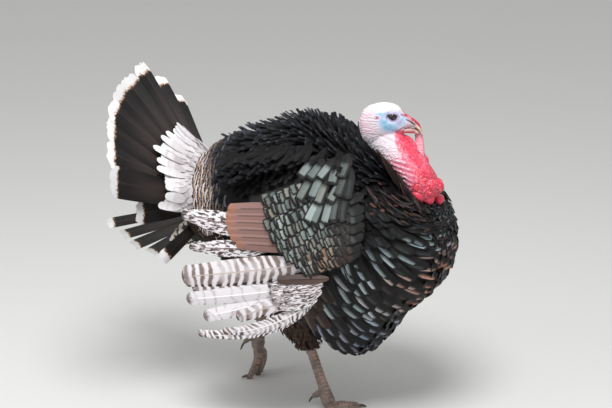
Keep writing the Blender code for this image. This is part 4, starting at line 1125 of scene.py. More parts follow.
def build_horn():
    """Beak halves, eyes, claws and spurs. The nostril is a slit pushed in across the bill, with a
    low flap under it."""
    # Beak horn: keratin grown in a smooth sheath, half clear at its edges, with a soft gloss.
    horn = painted("beak_horn",
        0.34, 0.1, 1.6, Subsurface_Weight=0.08, Subsurface_Scale=0.002, Specular_IOR_Level=0.5)
    rings = upright_rings(BILL_A, BILL_TOP, BILL_UNDER, BILL_HALF, 56, 44, 2.0)
    upper = solid("upper_beak", rings, horn)
    points = places(upper)
    a, side, v = head_measure(points)
    a, v, level = a * 1000, v * 1000, np.abs(side) * 1000
    slit = v - np.interp(a, (30, 37, 43, 50), (-8.5, -12.6, -16.8, -22.5))
    hole = bell(slit, 0, 1.8) * ease(30, 34, a) * fall(46, 51, a) * ease(1, 3, level)
    flap = bell(slit, -3.2, 1.6) * ease(32, 36, a) * fall(44, 49, a)
    push = np.sign(side) * (-1.8 * hole + 0.5 * flap) / 1000
    move_points(upper, points + push[:, None] * HEAD_LEFT)
    paint = layered(points, "#c3adab", (
        ("#d9818c", fall(27, 40, a + 4 * noise(points, 0.004, 41)) * 0.8),
        ("#c4505f", ease(2.0, 5.0, slit) * fall(46, 54, a) * 0.85),
        ("#dfe0ea", bell(slit, -4.2, 1.8) * fall(46, 52, a) * 0.7),
        ("#e9dfb4", ease(50, 60, a + 4 * noise(points, 0.005, 42))),
        ("#8a6a66", ease(0.5, 0.8, noise(points * (1, 1, 3), 0.003, 43)) * 0.35),
        # Painted shade inside the nostril's slit.
        ("#24161a", 1.25 * hole)))
    painted_points(upper, paint)
    ride(upper, "beak_horn", "beak_upper")
    lower = solid("lower_beak", upright_rings(JAW_A, JAW_TOP, JAW_UNDER, JAW_HALF, 36, 36, 2.2), horn)
    points = places(lower)
    a, _, v = (part * 1000 for part in head_measure(points))
    paint = layered(points, "#bd9a99", (
        ("#cfc4ae", ease(44, 54, a)),
        ("#c6485c", fall(-36, -32.5, v) * fall(44, 52, a))))
    painted_points(lower, paint)
    ride(lower, "beak_horn", "beak_lower")

    # Eye: a wet clear cornea over a nearly black iris, so all it shows is one sharp highlight.
    eye, tree, shader = finish("eye", 0.03, Coat_Weight=1.0, Coat_Roughness=0.02, IOR=1.38)
    mark = add(tree, "Attribute", attribute_name="pupil")
    iris = add(tree,
        "ValToRGB", {0: mark.outputs["Fac"]}, stops=[(0.0, linear("#050304")), (0.44, linear("#070405")),
        (0.52, linear("#1d100c")), (0.86, linear("#20120e")), (0.94, linear("#0d0706"))])
    tree.links.new(iris.outputs[0], shader.inputs["Base Color"])
    for sign, word in ((-1, "right"), (1, "left")):
        centre = head_place(0.0, sign * EYE_SIDE, 0.0)
        ball = solid("eyeball_" + word, ball_rings(centre, (EYE_RADIUS,) * 3, 40, 28), eye)
        out = HEAD_LEFT * sign
        away = unit(places(ball) - centre) @ out
        numbered_points(ball, "pupil", np.arccos(np.clip(away, -1, 1)) / 0.8)
        ride(ball, "eye", "eye_" + word)

    # Claw horn: keratin worn smooth by the ground, darker and shinier towards the point.
    claw_horn = painted("claw_horn", 0.38, 0.12, 1.3, Specular_IOR_Level=0.5)
    for word, hock, joint, heel_up in LEGS:
        _, toes, shank, inner = leg_lines(word, hock, joint, heel_up)
        for n, (_, half, way, seat, _) in enumerate(toes):
            tip = seat + way * CLAW
            tip[2] = max(tip[2] - 0.004, 0.0018)
            middle = (seat + tip) / 2 + np.array((0, 0, 0.0015))
            thick = half[-1] * 0.62
            size = (thick, thick * 0.8, 0.0011)
            claw = solid(f"{word}_claw_{n + 1}", tube_rings((seat - way * 0.003, middle, tip),
                size, size, np.cross(way, (0, 0, 1.0)), 20, 18), claw_horn)
            points = places(claw)
            points[:, 2] = np.maximum(points[:, 2], 0.0002)
            move_points(claw, points)
            far = length_of(points - seat)
            painted_points(claw, layered(points, "#5a4a42", (("#241d1b", ease(0.004, 0.014, far)),)))
            ride(claw, "claw_horn", f"claw_{word}_{n + 1}")
        seat = np.asarray(hock) + 0.62 * shank
        out = unit(np.array((-1.0, 0.55 * inner, 0.05)))
        spur = solid(f"{word}_spur",
            tube_rings((seat + out * 0.004, seat + out * 0.014, seat + out * 0.024 + (0, 0, 0.003)),
            (0.005, 0.0038, 0.0009), (0.005, 0.0038, 0.0009), (0, 0, 1.0), 20, 18), claw_horn)
        far = length_of(places(spur) - seat)
        painted_points(spur, layered(far, "#6b574c", (("#2a211f", ease(0.008, 0.02, far)),)))
        ride(spur, "claw_horn", "spur_" + word)


# ---- the coat
def unwrapped(s, turn):
    """Place on the body's unwrap: round the body across, from neck to tail upwards."""
    return np.stack([0.03 + 0.94 * (turn % CIRCLE) / CIRCLE, 0.03 + 0.94 * s], -1)


def coat(name, surface,
        p, q, way, length, half, depth, rise, colours, cells, material, slot, nodes=(), sky=1, **shape):
    """Lays feathers on a surface as one piece. Each is thickest in the middle of its length."""
    top, normal, size = laid(surface, p, q, way, length, half, depth, rise, **shape)
    rows, cols = shape.get("rows", SMALL_T), shape.get("cols", SMALL_W)
    lens = np.sin(math.pi * np.clip(rows, 0.04, 0.97)) ** 0.5
    obj = vanes(name,
        top, normal, FEATHER_THICK * lens, rows, cols, size, colours, cells, 0.0032, material, sky)
    return ride(obj, slot, *nodes)


def tube_cells(p, q):
    """Place on a limb's unwrap: round it across, from its start upwards."""
    return np.stack([0.05 + 0.9 * (q / CIRCLE + 0.5), 0.05 + 0.9 * p], -1)


def half_turns(turn):
    """Angles from 0 to a whole turn, as ones from minus a half turn to a half turn."""
    return np.where(turn > math.pi, turn - CIRCLE, turn)


def sided(turn, angle):
    """A flow angle towards the breast on both sides of the body."""
    return np.where(turn < 0, -angle, angle)


def pick(keep, *values):
    """Those of each array that are kept."""
    return [v[keep] for v in values]


def tints(rng, n, ground, band, fringe):
    """Each feather's three colours, picked along short lists with some chance."""
    return {"ground": shades(ground, rng.random(n)),
        "band": shades(band, rng.random(n)), "fringe": shades(fringe, rng.random(n))}


def toned(colours, codes, amount):
    """Moves the three colours towards these by an amount from 0 to 1 for each feather."""
    return {key: mixed(colours[key], code, amount) for key, code in zip(colours, codes)}


def clear_of_wing(place):
    """False where a wing lies over the trunk, so that no feather pokes through it."""
    x, z = place[:, 0], place[:, 2]
    top = np.interp(x, (-0.2, -0.1, -0.02, 0.055, 0.15, 0.19), (0.44, 0.5, 0.535, 0.57, 0.572, 0.53))
    low = np.interp(x, (-0.17, 0.0, 0.12, 0.165), (0.3, 0.3, 0.38, 0.44))
    return ~((x < 0.165) & (x > -0.17) & (z < top) & (z > low))


def build_mantle(rng):
    """Black hump of the back: narrow square-ended feathers that stand up along the ridge, with painted
    grey-blue sheen on their tips that is strongest along the spine and fades to black down the sides.
    """
    p, q = rows_of(trunk, 0.5, (0.05, 0.625), (-1.7, 1.7), 0.013, 0.0098, rng)
    keep = np.abs(q) < np.interp(p, (0, 0.3, 0.55, 0.8), (1.62, 1.5, 1.7, 1.7))
    p, q = pick(keep & clear_of_wing(trunk(p, q)), p, q)
    n, side = len(p), np.abs(q)
    full = np.interp(p, (0.05, 0.2, 0.36, 0.5, 0.62), (1.5, 1.5, 1.35, 1.15, 0.85))
    way = sided(q, full * ease(-0.1, 1.1, side)) + rng.normal(0, 0.2, n)
    ridge = bell(q, 0, 0.62) * ease(0.05, 0.16, p) * fall(0.66, 0.76, p)
    length = np.interp(p, (0.05, 0.3, 0.8), (0.054, 0.048, 0.044)) * rng.uniform(0.8, 1.15, n)
    half = np.interp(side, (0, 0.7, 1.3), (0.0052, 0.0054, 0.006)) * rng.uniform(0.85, 1.15, n)
    rise = -0.003 + ridge * rng.uniform(-0.004, 0.016, n) + 0.004 * rng.random(n)
    dark = tints(rng, n, ("#060607", "#0c0b0d"),
        ("#121216", "#26262e", "#191b1f"), ("#24262b", "#4b4f5b", "#363a42", "#17171a", "#131315"))
    # Painted sheen: band and fringe are bright along the spine, where the light falls from above, and fade
    # to black down the sides.
    near = np.clip(1.05 - side / 0.85, 0, 1)
    for key in ("band", "fringe"):
        dark[key] = dark[key] * (0.06 + 0.94 * near**1.5)[:, None]
    copper = (rng.random(n) < 0.12) & (p < 0.24) & (side > 0.35)
    dark["fringe"][copper] = linear("#64443a")
    coat("mantle_feathers", trunk, p, q, way, length, half, 0.016 + 0.008 * ridge,
        rise, dark, unwrapped(p, q), plumage("mantle_black", (0.45, 0.62, 0.86, 0.95), (0.0, 0.3, 0.7, 1.0),
        (0.84, 0.92), rough=0.48, gloss=0.18), "plumage_black", lift_power=3.0, blunt=0.04, taper=0.12)

    # Shoulder feathers: the black ones that hang over the top of each wing.
    for side, word in ((-1, "right"), (1, "left")):
        x, level = np.meshgrid(np.linspace(-0.125, 0.18, 34), np.arange(5))
        x = (x + 0.0045 * (level % 2)).ravel()
        tip_z = np.interp(x,
            (-0.12, -0.02, 0.055, 0.122, 0.18), (0.505, 0.533, 0.56, 0.566, 0.545)) + 0.009 * level.ravel()
        x = x + rng.normal(0, 0.003, len(x))
        tip = np.stack([x, tip_z + rng.normal(0, 0.005, len(x))], -1)
        lean = np.interp(x, (-0.12, 0.0, 0.1, 0.18), (-0.75, -0.35, 0.0, 0.35)) + rng.normal(0, 0.2, len(x))
        root = tip - 0.042 * np.stack([np.sin(lean), -np.cos(lean)], -1)
        low = root[:,
            1] < np.interp(root[:, 0], (-0.15, 0.0, 0.06, 0.14, 0.2), (0.56, 0.598, 0.606, 0.598, 0.575))
        root, tip = root[low], tip[low]
        surface, p, q, angle, length = wing_lay(side, root, tip)
        n = len(p)
        colours = tints(rng,
            n, ("#060607", "#0b0a0c"), ("#09090a", "#0f0f12"), ("#09090b", "#121217", "#22232b"))
        coat(f"{word}_shoulder_feathers", surface, p, q, angle,
            length, 0.0066 * rng.uniform(0.85, 1.15, n), -0.002, 0.015 + 0.005 * rng.random(n), colours,
            wing_cells(root), bpy.data.materials["mantle_black"], "plumage_black", blunt=0.06, taper=0.2)


def build_rump(rng):
    """Rows across the lower back whose tips carry black, copper, buff and white bands."""
    p, q = rows_of(trunk, 0.9, (0.575, 0.975), (-2.05, 2.05), 0.0138, 0.021, rng)
    n, side = len(p), np.abs(q)
    way = sided(q, np.interp(side, (0, 1, 2), (0.0, 0.1, 0.25))) + rng.normal(0, 0.03, n)
    length, half = 0.052 * rng.uniform(0.98, 1.02, n), 0.0165 * rng.uniform(0.9, 1.1, n)
    pale = ease(0.625, 0.69, p + rng.normal(0, 0.008, n))[:, None]
    picks = tints(rng, n, ("#0b090a", "#151213"),
        ("#a98573", "#8d6a5c", "#c3a797", "#6e5347"), ("#f1ecef", "#d8cfd0", "#e9dccf"))
    black = tints(rng,
        n, ("#050506", "#0a090b"), ("#09090a", "#121214"), ("#0c0c0e", "#6d6b72", "#101012", "#151518"))
    colours = {key: black[key] * (1 - pale) + picks[key] * pale for key in picks}
    colours = toned(colours, ("#15110f", "#231b17", "#3d302a"), ease(0.85, 0.9, p))
    coat("rump_feathers", trunk, p, q, way, length, half, 0.015, 0.001
        + 0.001 * rng.random(n), colours, unwrapped(p, q), plumage("rump_banded", (0.76, 0.79, 0.87, 0.89),
        (0.0, 0.06, 0.94, 1.0), (0.94, 0.96), gloss=0.25), "plumage_rump", blunt=0.02, taper=0.0)


def build_breast(rng):
    """Black breast feathers, each with one long bright stroke on its rear half, which is painted sheen, the
    sky's reflection; narrow plain ones at the foot of the neck."""
    p, q = rows_of(trunk, 0.28, (0.05, 0.67), (0.95, math.pi), 0.0285, 0.021, rng, rows_along_q=True)
    p, q = np.concatenate([p, p]), np.concatenate([-q, q])
    p, q = p + rng.normal(0, 0.004, len(p)), q + rng.normal(0, 0.02, len(p))
    place = trunk(p, q)
    p, q, x, z = pick(clear_of_wing(place), p, q, place[:, 0], place[:, 2])
    n = len(p)
    angle = np.interp(p, (0, 0.08, 0.2, 0.36, 0.5, 0.62), (2.2, 1.95, 1.62, 1.22, 1.0, 0.9))
    way = sided(q, angle) + rng.normal(0, 0.07, n)
    length = 0.088 * rng.uniform(0.92, 1.08, n)
    half = 0.015 * rng.uniform(0.92, 1.08, n)
    # The band colours are painted sheen, the sky's reflection on each feather: silver-blue, bluish-grey low
    # down and copper at the front; fade sets how strongly it shows.
    colours = tints(rng,
        n, ("#050506", "#0b0b0d"), ("#aebdc4", "#90a1a5", "#c3ced3"), ("#060607", "#0e0e10"))
    copper = np.clip(ease(0.19, 0.26, x) * fall(0.36, 0.43, z)
        * ease(0.21, 0.25, z) + rng.normal(0, 0.22, n), 0, 1)[:, None] * fall(0.39, 0.44, z)[:, None]
    low = np.clip(fall(0.24, 0.29, z) * fall(0.2, 0.26, x), 0, 1)[:, None]
    band = colours["band"]
    band = band * (1 - low) + shades(("#9aa2b6", "#78839a", "#7f93a0"), rng.random(n)) * low
    band = band * (1 - copper) + shades(("#c48f80", "#a9664a", "#b5948c"), rng.random(n)) * copper
    fade = (1 - 0.93 * ease(0.43, 0.49, z)) * (1 - 0.75 * ease(0.58, 0.66, p) * (z > 0.2))
    fade = np.where((q > 0) & (p < 0.3), np.maximum(fade, 0.25), fade)
    brown = fall(0.08, 0.12, x) * ease(0.245, 0.275, z)
    fade = fade * (1 - 0.8 * brown)
    fade = fade * np.where(rng.random(n) < 0.2, 0.12, 1.0) * rng.uniform(0.75, 1.3, n)
    colours["band"] = band * fade[:, None]
    colours = toned(colours, ("#3a2c28", "#6b564f", "#45342f"), brown)
    # The band lies along the side of each vane that faces up, so the painted sheen shows as one stroke.
    painted_sheen = plumage("breast_painted_sheen",
        (0.4, 0.56, 0.89, 0.94), (0.44, 0.74, 0.82, 0.88), (0.96, 0.99), rough=0.38, gloss=0.25, metal=0.4)
    coat("breast_feathers", trunk, p, q, way, length,
        half, 0.016, 0.003 + 0.004 * rng.random(n), colours, unwrapped(p, q), painted_sheen, "plumage_breast",
        bow=np.where(q < 0, -0.22, 0.22), sky=np.where(q < 0, 1, -1), blunt=0.08, taper=0.2)
    p, q = rows_of(trunk, 1.6, (0.028, 0.17), (0.75, CIRCLE - 0.75), 0.014, 0.0095, rng)
    q = half_turns(q)
    n = len(p)
    way = sided(q, np.interp(np.abs(q), (0.8, 1.6, 3.14), (2.0, 2.35, 1.9))) + rng.normal(0, 0.1, n)
    colours = tints(rng, n, ("#070708", "#101013"),
        ("#1c1d21", "#2d2a2c", "#5a4238", "#15151a"), ("#0b0b0d", "#2b2c31", "#4a3a34"))
    # Painted light: the feathers on the far front side are greyed as if lit by the sky.
    painted_skylight = ease(0.0, 0.4, np.pi - np.abs(q)) * (q > 0) * ease(1.6, 2.1, np.abs(q)) * ease(0.05, 0.07, p)
    colours = toned(colours, ("#343b3f", "#5f6a6f", "#6b767b"), painted_skylight)
    coat("throat_feathers", trunk, p, q, way, 0.072 * rng.uniform(0.85, 1.15, n),
        0.005 * rng.uniform(0.85, 1.15, n), 0.014, 0.003 + 0.004 * rng.random(n), colours,
        unwrapped(p, q), bpy.data.materials["mantle_black"], "plumage_black", blunt=0.12, taper=0.5)


def build_belly(rng):
    """Loose brown-black down of the belly and the thighs."""
    p, q = rows_of(trunk, 2.4, (0.56, 0.95), (1.45, CIRCLE - 1.45), 0.015, 0.015, rng)
    q = half_turns(q)
    n = len(p)
    way = sided(q, np.interp(p, (0.5, 0.7, 0.95), (0.9, 0.5, 0.2))) + rng.normal(0, 0.3, n)
    down = ("#120e0c", "#241b17", "#1a1614"), ("#2a211c", "#3b2f28"), ("#2e241f", "#453830")
    material = plumage("belly_down",
        (0.4, 0.6, 0.8, 0.95), (0.0, 0.3, 0.7, 1.0), (0.85, 1.0), rough=0.75, gloss=0.2)
    colours = tints(rng, n, *down)
    dark = (0.25 + 0.75 * ease(0.62, 0.74, p))[:, None]
    coat("belly_feathers", trunk, p, q, way, 0.048 * rng.uniform(0.8, 1.2, n),
        0.0085 * rng.uniform(0.8, 1.2, n), 0.015, rng.uniform(0.002, 0.008, n), {key: value
        * dark for key, value in colours.items()}, unwrapped(p, q), material, "plumage_brown", blunt=0.16)
    for word, hock, _, _ in LEGS:
        surface = thigh_surface(KNEES[word], hock)
        p, q = rows_of(surface, 0.0, (0.05, 0.97), (-math.pi, math.pi), 0.01, 0.0088, rng)
        n = len(p)
        size = np.interp(p, (0, 0.7, 1), (1.0, 0.95, 0.85))
        cells = tube_cells(p, q)
        coat(f"{word}_thigh_feathers", surface, p, q, rng.normal(0, 0.22, n),
            0.038 * size * rng.uniform(0.8, 1.2, n), 0.005 * size * rng.uniform(0.8, 1.2, n),
            0.01 * size, rng.uniform(0.003, 0.012, n), tints(rng, n, ("#2c211d", "#3a2d27"),
            ("#4b3c34", "#5a493f"), ("#4f3f36", "#665449")), cells, material, "plumage_brown", blunt=0.18)


def build_cape(rng):
    """Long soft brown feathers round the back of the neck, with some orange edges."""
    p, q = rows_of(cape, 0.0, (0.1, 0.78), (-1.7, 1.7), 0.015, 0.014, rng)
    p, q = pick(np.abs(q) < np.interp(p, (0.1, 0.4, 0.7, 0.9), (0.85, 1.1, 1.35, 1.5)), p, q)
    n = len(p)
    colours = tints(rng,
        n, ("#352827", "#281f1f", "#463733"), ("#7a625a", "#8a7168", "#55433e"), ("#2a1f1e", "#3f3133"))
    warm = rng.random(n) < 0.1
    colours["fringe"][warm] = linear("#7d4d35")
    cells = np.stack([0.05 + 0.9 * (q / 4 + 0.5), 0.05 + 0.9 * p], -1)
    coat("cape_feathers", cape, p, q, -np.sign(q) * 0.1 + rng.normal(0, 0.1, n),
        0.066 * rng.uniform(0.85, 1.15, n), 0.0092 * rng.uniform(0.85, 1.15, n), 0.007,
        0.002 + 0.003 * rng.random(n), colours, cells, plumage("cape_brown", (0.35, 0.55, 0.88, 0.97),
        (0.22, 0.42, 0.58, 0.78), (0.9, 0.97), rough=0.6, gloss=0.25), "plumage_brown", blunt=0.12)


# ---- wings
GREATER_XZ = np.array(((-0.014, 0.499), (-0.003, 0.461), (0.017, 0.413), (0.054, 0.38), (0.108, 0.35)))
FRONT_XZ = np.array(((0.145, 0.565), (0.169, 0.527), (0.188, 0.481), (0.195, 0.433), (0.19, 0.388)))
LONG_T = np.array((0, 0.06, 0.14, 0.24, 0.35, 0.47, 0.59, 0.7, 0.79, 0.87, 0.93, 0.97, 1.0))
LONG_W = np.array((-1, -0.82, -0.5, -0.16, 0.0, 0.16, 0.5, 0.82, 1.0))
MIDDLE_T = np.array((0, 0.12, 0.28, 0.45, 0.62, 0.78, 0.9, 0.96, 1.0))


def wing_lay(side, root, tip):
    """Start, flow angle and length on a wing's face for feathers from root to tip, given in its
    side view as (x, z)."""
    surface = wing_face(side)
    p, q = root[:, 0], root[:, 1] * side
    _, _, sq, _ = slopes(surface, p, q)
    rise = (tip[:, 1] - root[:, 1]) * length_of(sq) * side
    run = tip[:, 0] - root[:, 0]
    return surface, p, q, np.arctan2(rise, run), np.hypot(rise, run)


def wing_cells(root):
    """Place on a wing's unwrap: its own side view."""
    return np.stack([0.04 + 0.92 * (root[:, 0] + 0.25) / 0.5, 0.04 + 0.92 * (root[:, 1] - 0.15) / 0.5], -1)


def build_coverts(rng, side, word, material, soft):
    """Rows of square-ended coverts that fan back from the wrist, small feathers round the folded
    arm, and the larger scapulars over both. The rows' tips run between two lines down the wing,
    a share f of the way from the rear one to the front one."""
    rows = []
    for k in range(22):
        f = k / 21
        edge = GREATER_XZ * (1 - f) + FRONT_XZ * f
        u = even(lambda a, _: track(edge, a), 0.0, 0.0, 1.0, 0.0235 - 0.006 * f, True, 0.25 * (k % 2))
        u = np.clip(u, 0, 1)
        u = u[u > np.interp(f, (0, 0.35, 0.6, 1.0), (0.0, 0.03, 0.18, 0.3))]
        way = unit(track(GREATER_XZ, u) - track(FRONT_XZ, u) + np.array((0.0, -0.03)))
        rows.append((track(edge, u), way, np.stack([np.full(len(u), f), u], -1)))
    tip, way, tone = (np.concatenate(parts) for parts in zip(*rows))
    length, half = 0.042 - 0.012 * tone[:, 0], 0.0138 - 0.0038 * tone[:, 0]
    n = len(tip)
    way = unit(way + rng.normal(0, 0.06, (n, 2)))
    tip = tip + rng.normal(0, 0.0018, (n, 2))
    length = length * rng.uniform(0.93, 1.07, n)
    root = tip - way * length[:, None]
    surface, p, q, angle, length = wing_lay(side, root, tip)
    # The pale teal-grey band colours are painted sheen, the sky's reflection.
    colours = tints(rng,
        n, ("#0a0b0c", "#131416"), ("#84918d", "#9aa49f", "#66726f", "#908d83"), ("#070708", "#0e0e10"))
    copper = np.clip((tone[:, 1] - 0.66) * 3 * ease(0.1, 0.35, tone[:, 0]) + rng.normal(0, 0.15, n) + 0.7
        * fall(0.05, 0.22, tone[:, 1]) * ease(0.1, 0.2, tone[:, 0]) * fall(0.3, 0.5, tone[:, 0]), 0, 0.8)
    warm = shades(("#9a6548", "#84745f", "#a88467"), rng.random(n))
    colours["band"] = colours["band"] * (1 - copper[:, None]) + warm * copper[:, None]
    dim = 1 - 0.82 * ease(0.62, 0.88, tone[:, 0])
    colours["band"] *= (rng.uniform(0.6, 1.25, n) * dim)[:, None]
    colours["fringe"] = mixed(colours["fringe"], "#33292a", 0.8 * (1 - dim))
    coat(f"{word}_wing_coverts", surface, p, q, angle, length,
        half, 0.005, 0.0055 + 0.0014 * rng.random(n), colours, wing_cells(root), material, "wing_coverts",
        ("wing_coverts_" + word,), rows=MIDDLE_T, blunt=0.02, taper=0.04, sky=-side, camber=0.16)

    # Small dark feathers round the folded arm.
    arm = wing_arm(side, 0.005)
    p, q = rows_of(arm, 0.0, (0.2, 0.97), (-math.pi, math.pi), 0.01, 0.009, rng)
    n = len(p)
    colours = tints(rng,
        n, ("#0b0b0c", "#151416"), ("#26272b", "#3a3634", "#4d4540"), ("#0d0d0f", "#2a2523"))
    cells = tube_cells(p, q)
    coat(f"{word}_arm_feathers", arm, p, q, rng.normal(0, 0.25, n), 0.026 * rng.uniform(0.85, 1.2, n),
        0.0058 * rng.uniform(0.85, 1.2, n), 0.005, rng.uniform(0.001, 0.005, n),
        colours, cells, bpy.data.materials["mantle_black"], "wing_coverts", blunt=0.12)

    # Scapulars: large soft feathers that hang from the shoulder over the first rows.
    for row, (x0, x1, z0, z1, n, long) in enumerate(((0.094, 0.168, 0.458, 0.472, 5, 0.06),
            (0.078, 0.176, 0.494, 0.506, 6, 0.058), (0.064, 0.158, 0.532, 0.54, 5, 0.046))):
        x = np.linspace(x0, x1, n) + rng.normal(0, 0.003, n)
        tip = np.stack([x, np.linspace(z0, z1, n) + rng.normal(0, 0.006, n)], -1)
        lean = unit(np.stack([np.linspace(-0.42, 0.0, n) + rng.normal(0, 0.1, n), np.full(n, -0.9)], -1))
        surface, p, q, angle, length = wing_lay(side, tip - lean * long, tip)
        # The pale teal-grey band colours are painted sheen, the sky's reflection, dimmed towards the front.
        colours = tints(rng,
            n, ("#08090a", "#101113"), ("#8b9897", "#a3aeac", "#6b7877", "#8c9089"), ("#050506", "#0b0b0d"))
        colours["band"] *= (rng.uniform(0.5, 1.1, n) * (1 - 0.85 * ease(0.135, 0.17, x)))[:, None]
        coat(f"{word}_scapulars_{row}", surface, p, q, angle, length, 0.013
            * rng.uniform(0.9, 1.1, n), -0.0085, 0.0105 + 0.0016 * row, colours, wing_cells(tip), soft,
            "wing_coverts", rows=MIDDLE_T, blunt=0.05, taper=0.06, sky=-side, camber=0.2, lift_power=1.0)


QUILLS = (
    # finish, root (x, z), tip (x, z), half width, bow, height over the wing
    ("bronze", (0.05, 0.478), (-0.086, 0.464), 0.014, 0.0, 0.003),
    ("bronze", (0.06, 0.464), (-0.09, 0.45), 0.014, 0.0, 0.0022),
    ("bronze", (0.07, 0.45), (-0.088, 0.437), 0.014, 0.0, 0.0014),
    ("bronze", (0.076, 0.435), (-0.084, 0.423), 0.014, 0.0, 0.0006),
    ("bronze", (0.082, 0.42), (-0.076, 0.409), 0.014, 0.01, -0.0002),
    ("bronze", (0.088, 0.405), (-0.062, 0.396), 0.014, 0.02, -0.001),
    ("speckled", (0.02, 0.425), (-0.196, 0.443), 0.025, 0.02, -0.002),
    ("speckled", (0.01, 0.392), (-0.172, 0.376), 0.018, 0.03, -0.0035),
    ("barred", (0.1, 0.372), (-0.183, 0.312), 0.0285, 0.03, -0.001),
    ("barred", (0.07, 0.35), (-0.16, 0.292), 0.02, 0.03, -0.0055),
    ("white", (0.07, 0.318), (-0.17, 0.266), 0.0175, 0.03, -0.003),
    ("white", (0.06, 0.3), (-0.128, 0.234), 0.016, 0.03, -0.0045),
    ("barred", (0.075, 0.298), (-0.05, 0.243), 0.015, 0.02, -0.002),
    ("narrow", (0.112, 0.286), (-0.124, 0.202), 0.015, 0.36, -0.006),
    ("narrow", (0.12, 0.298), (-0.07, 0.212), 0.015, 0.32, -0.0045),
)
HAND_COVERTS = (
    ("speckled", (0.118, 0.338), (0.02, 0.318), 0.012, 0.02, 0.003),
    ("speckled", (0.122, 0.328), (0.024, 0.304), 0.0125, 0.02, 0.002),
    ("speckled", (0.126, 0.316), (0.03, 0.29), 0.0125, 0.02, 0.001),
    ("speckled", (0.13, 0.304), (0.044, 0.274), 0.012, 0.03, 0.0),
    ("dusky", (0.155, 0.35), (0.042, 0.334), 0.011, 0.02, 0.0055),
    ("speckled", (0.142, 0.336), (0.056, 0.31), 0.013, 0.03, 0.0035),
    ("speckled", (0.14, 0.322), (0.06, 0.29), 0.013, 0.03, 0.0025),
)


def build_quills(name, side, word, table, materials, slot, nodes, rng):
    """Flight feathers, one grid each, grouped by finish; lower ones lie under upper ones."""
    for number, kind in enumerate(sorted({row[0] for row in table})):
        rows = [row for row in table if row[0] == kind]
        root, tip = np.array([r[1] for r in rows]), np.array([r[2] for r in rows])
        half, bow, height = (np.array([r[i] for r in rows]) for i in (3, 4, 5))
        n = len(rows)
        surface, p, q, way, length = wing_lay(side, root, tip)
        way = way + side * bow
        taper = {"speckled": 0.5, "narrow": 0.35}.get(kind, 0.18)
        top, normal, size = laid(surface,
            p, q, way, length, half, 0.004 - height, height + 0.001, camber=0.16,
            taper=taper, blunt=0.035, bow=-side * bow, rows=LONG_T, cols=LONG_W, lift_power=1.0)
        shaft = bell(LONG_W,
            0, 0.1)[None, None, :, None] * (0.0011 * (1 - 0.8 * LONG_T))[None, :, None, None]
        top = top + normal * shaft
        from_tip = length[:,
            None, None] * (1 - LONG_T[None, :, None]) + 0.012 * np.abs(LONG_W)[None, None] ** 2
        tint = np.repeat(rng.uniform(0.86, 1.04, (n, 1)), 3, axis=1)
        lens = 0.0011 * np.sin(math.pi * np.clip(LONG_T, 0.06, 0.97)) ** 0.5
        obj = vanes(f"{word}_{name}_{kind}", top, normal,
            lens, LONG_T, LONG_W, size, {"ground": tint}, wing_cells(root), 0.03, materials[kind], -side)
        add_tip(obj, from_tip, n)
        ride(obj, slot, *(() if number else nodes))


def add_tip(obj, from_tip, n):
    """Distance of each point from its feather's tip."""
    grid = np.broadcast_to(from_tip, (n, *from_tip.shape[1:]))
    numbered_points(obj, "from_tip", both_faces(grid))


# ---- tail
def tail_feathers():
    """(name, direction, length) of the eighteen feathers, from the right side to the left."""
    up, side = unit(FAN_UP), unit(FAN_SIDE)
    right = [(up * math.cos(math.radians(d)) + side * math.sin(math.radians(d)), length)
        for d, length in zip(RIGHT_DEGREES, RIGHT_LENGTHS)]
    right += [(unit(d), length) for d, length in RIGHT_OUTER]
    left = [(unit(d), length) for d, length in LEFT_FEATHERS]
    named = [(f"tail_right_{i + 1}", d, n) for i, (d, n) in enumerate(right)][::-1]
    return named + [(f"tail_left_{i + 1}", d, n) for i, (d, n) in enumerate(left)]


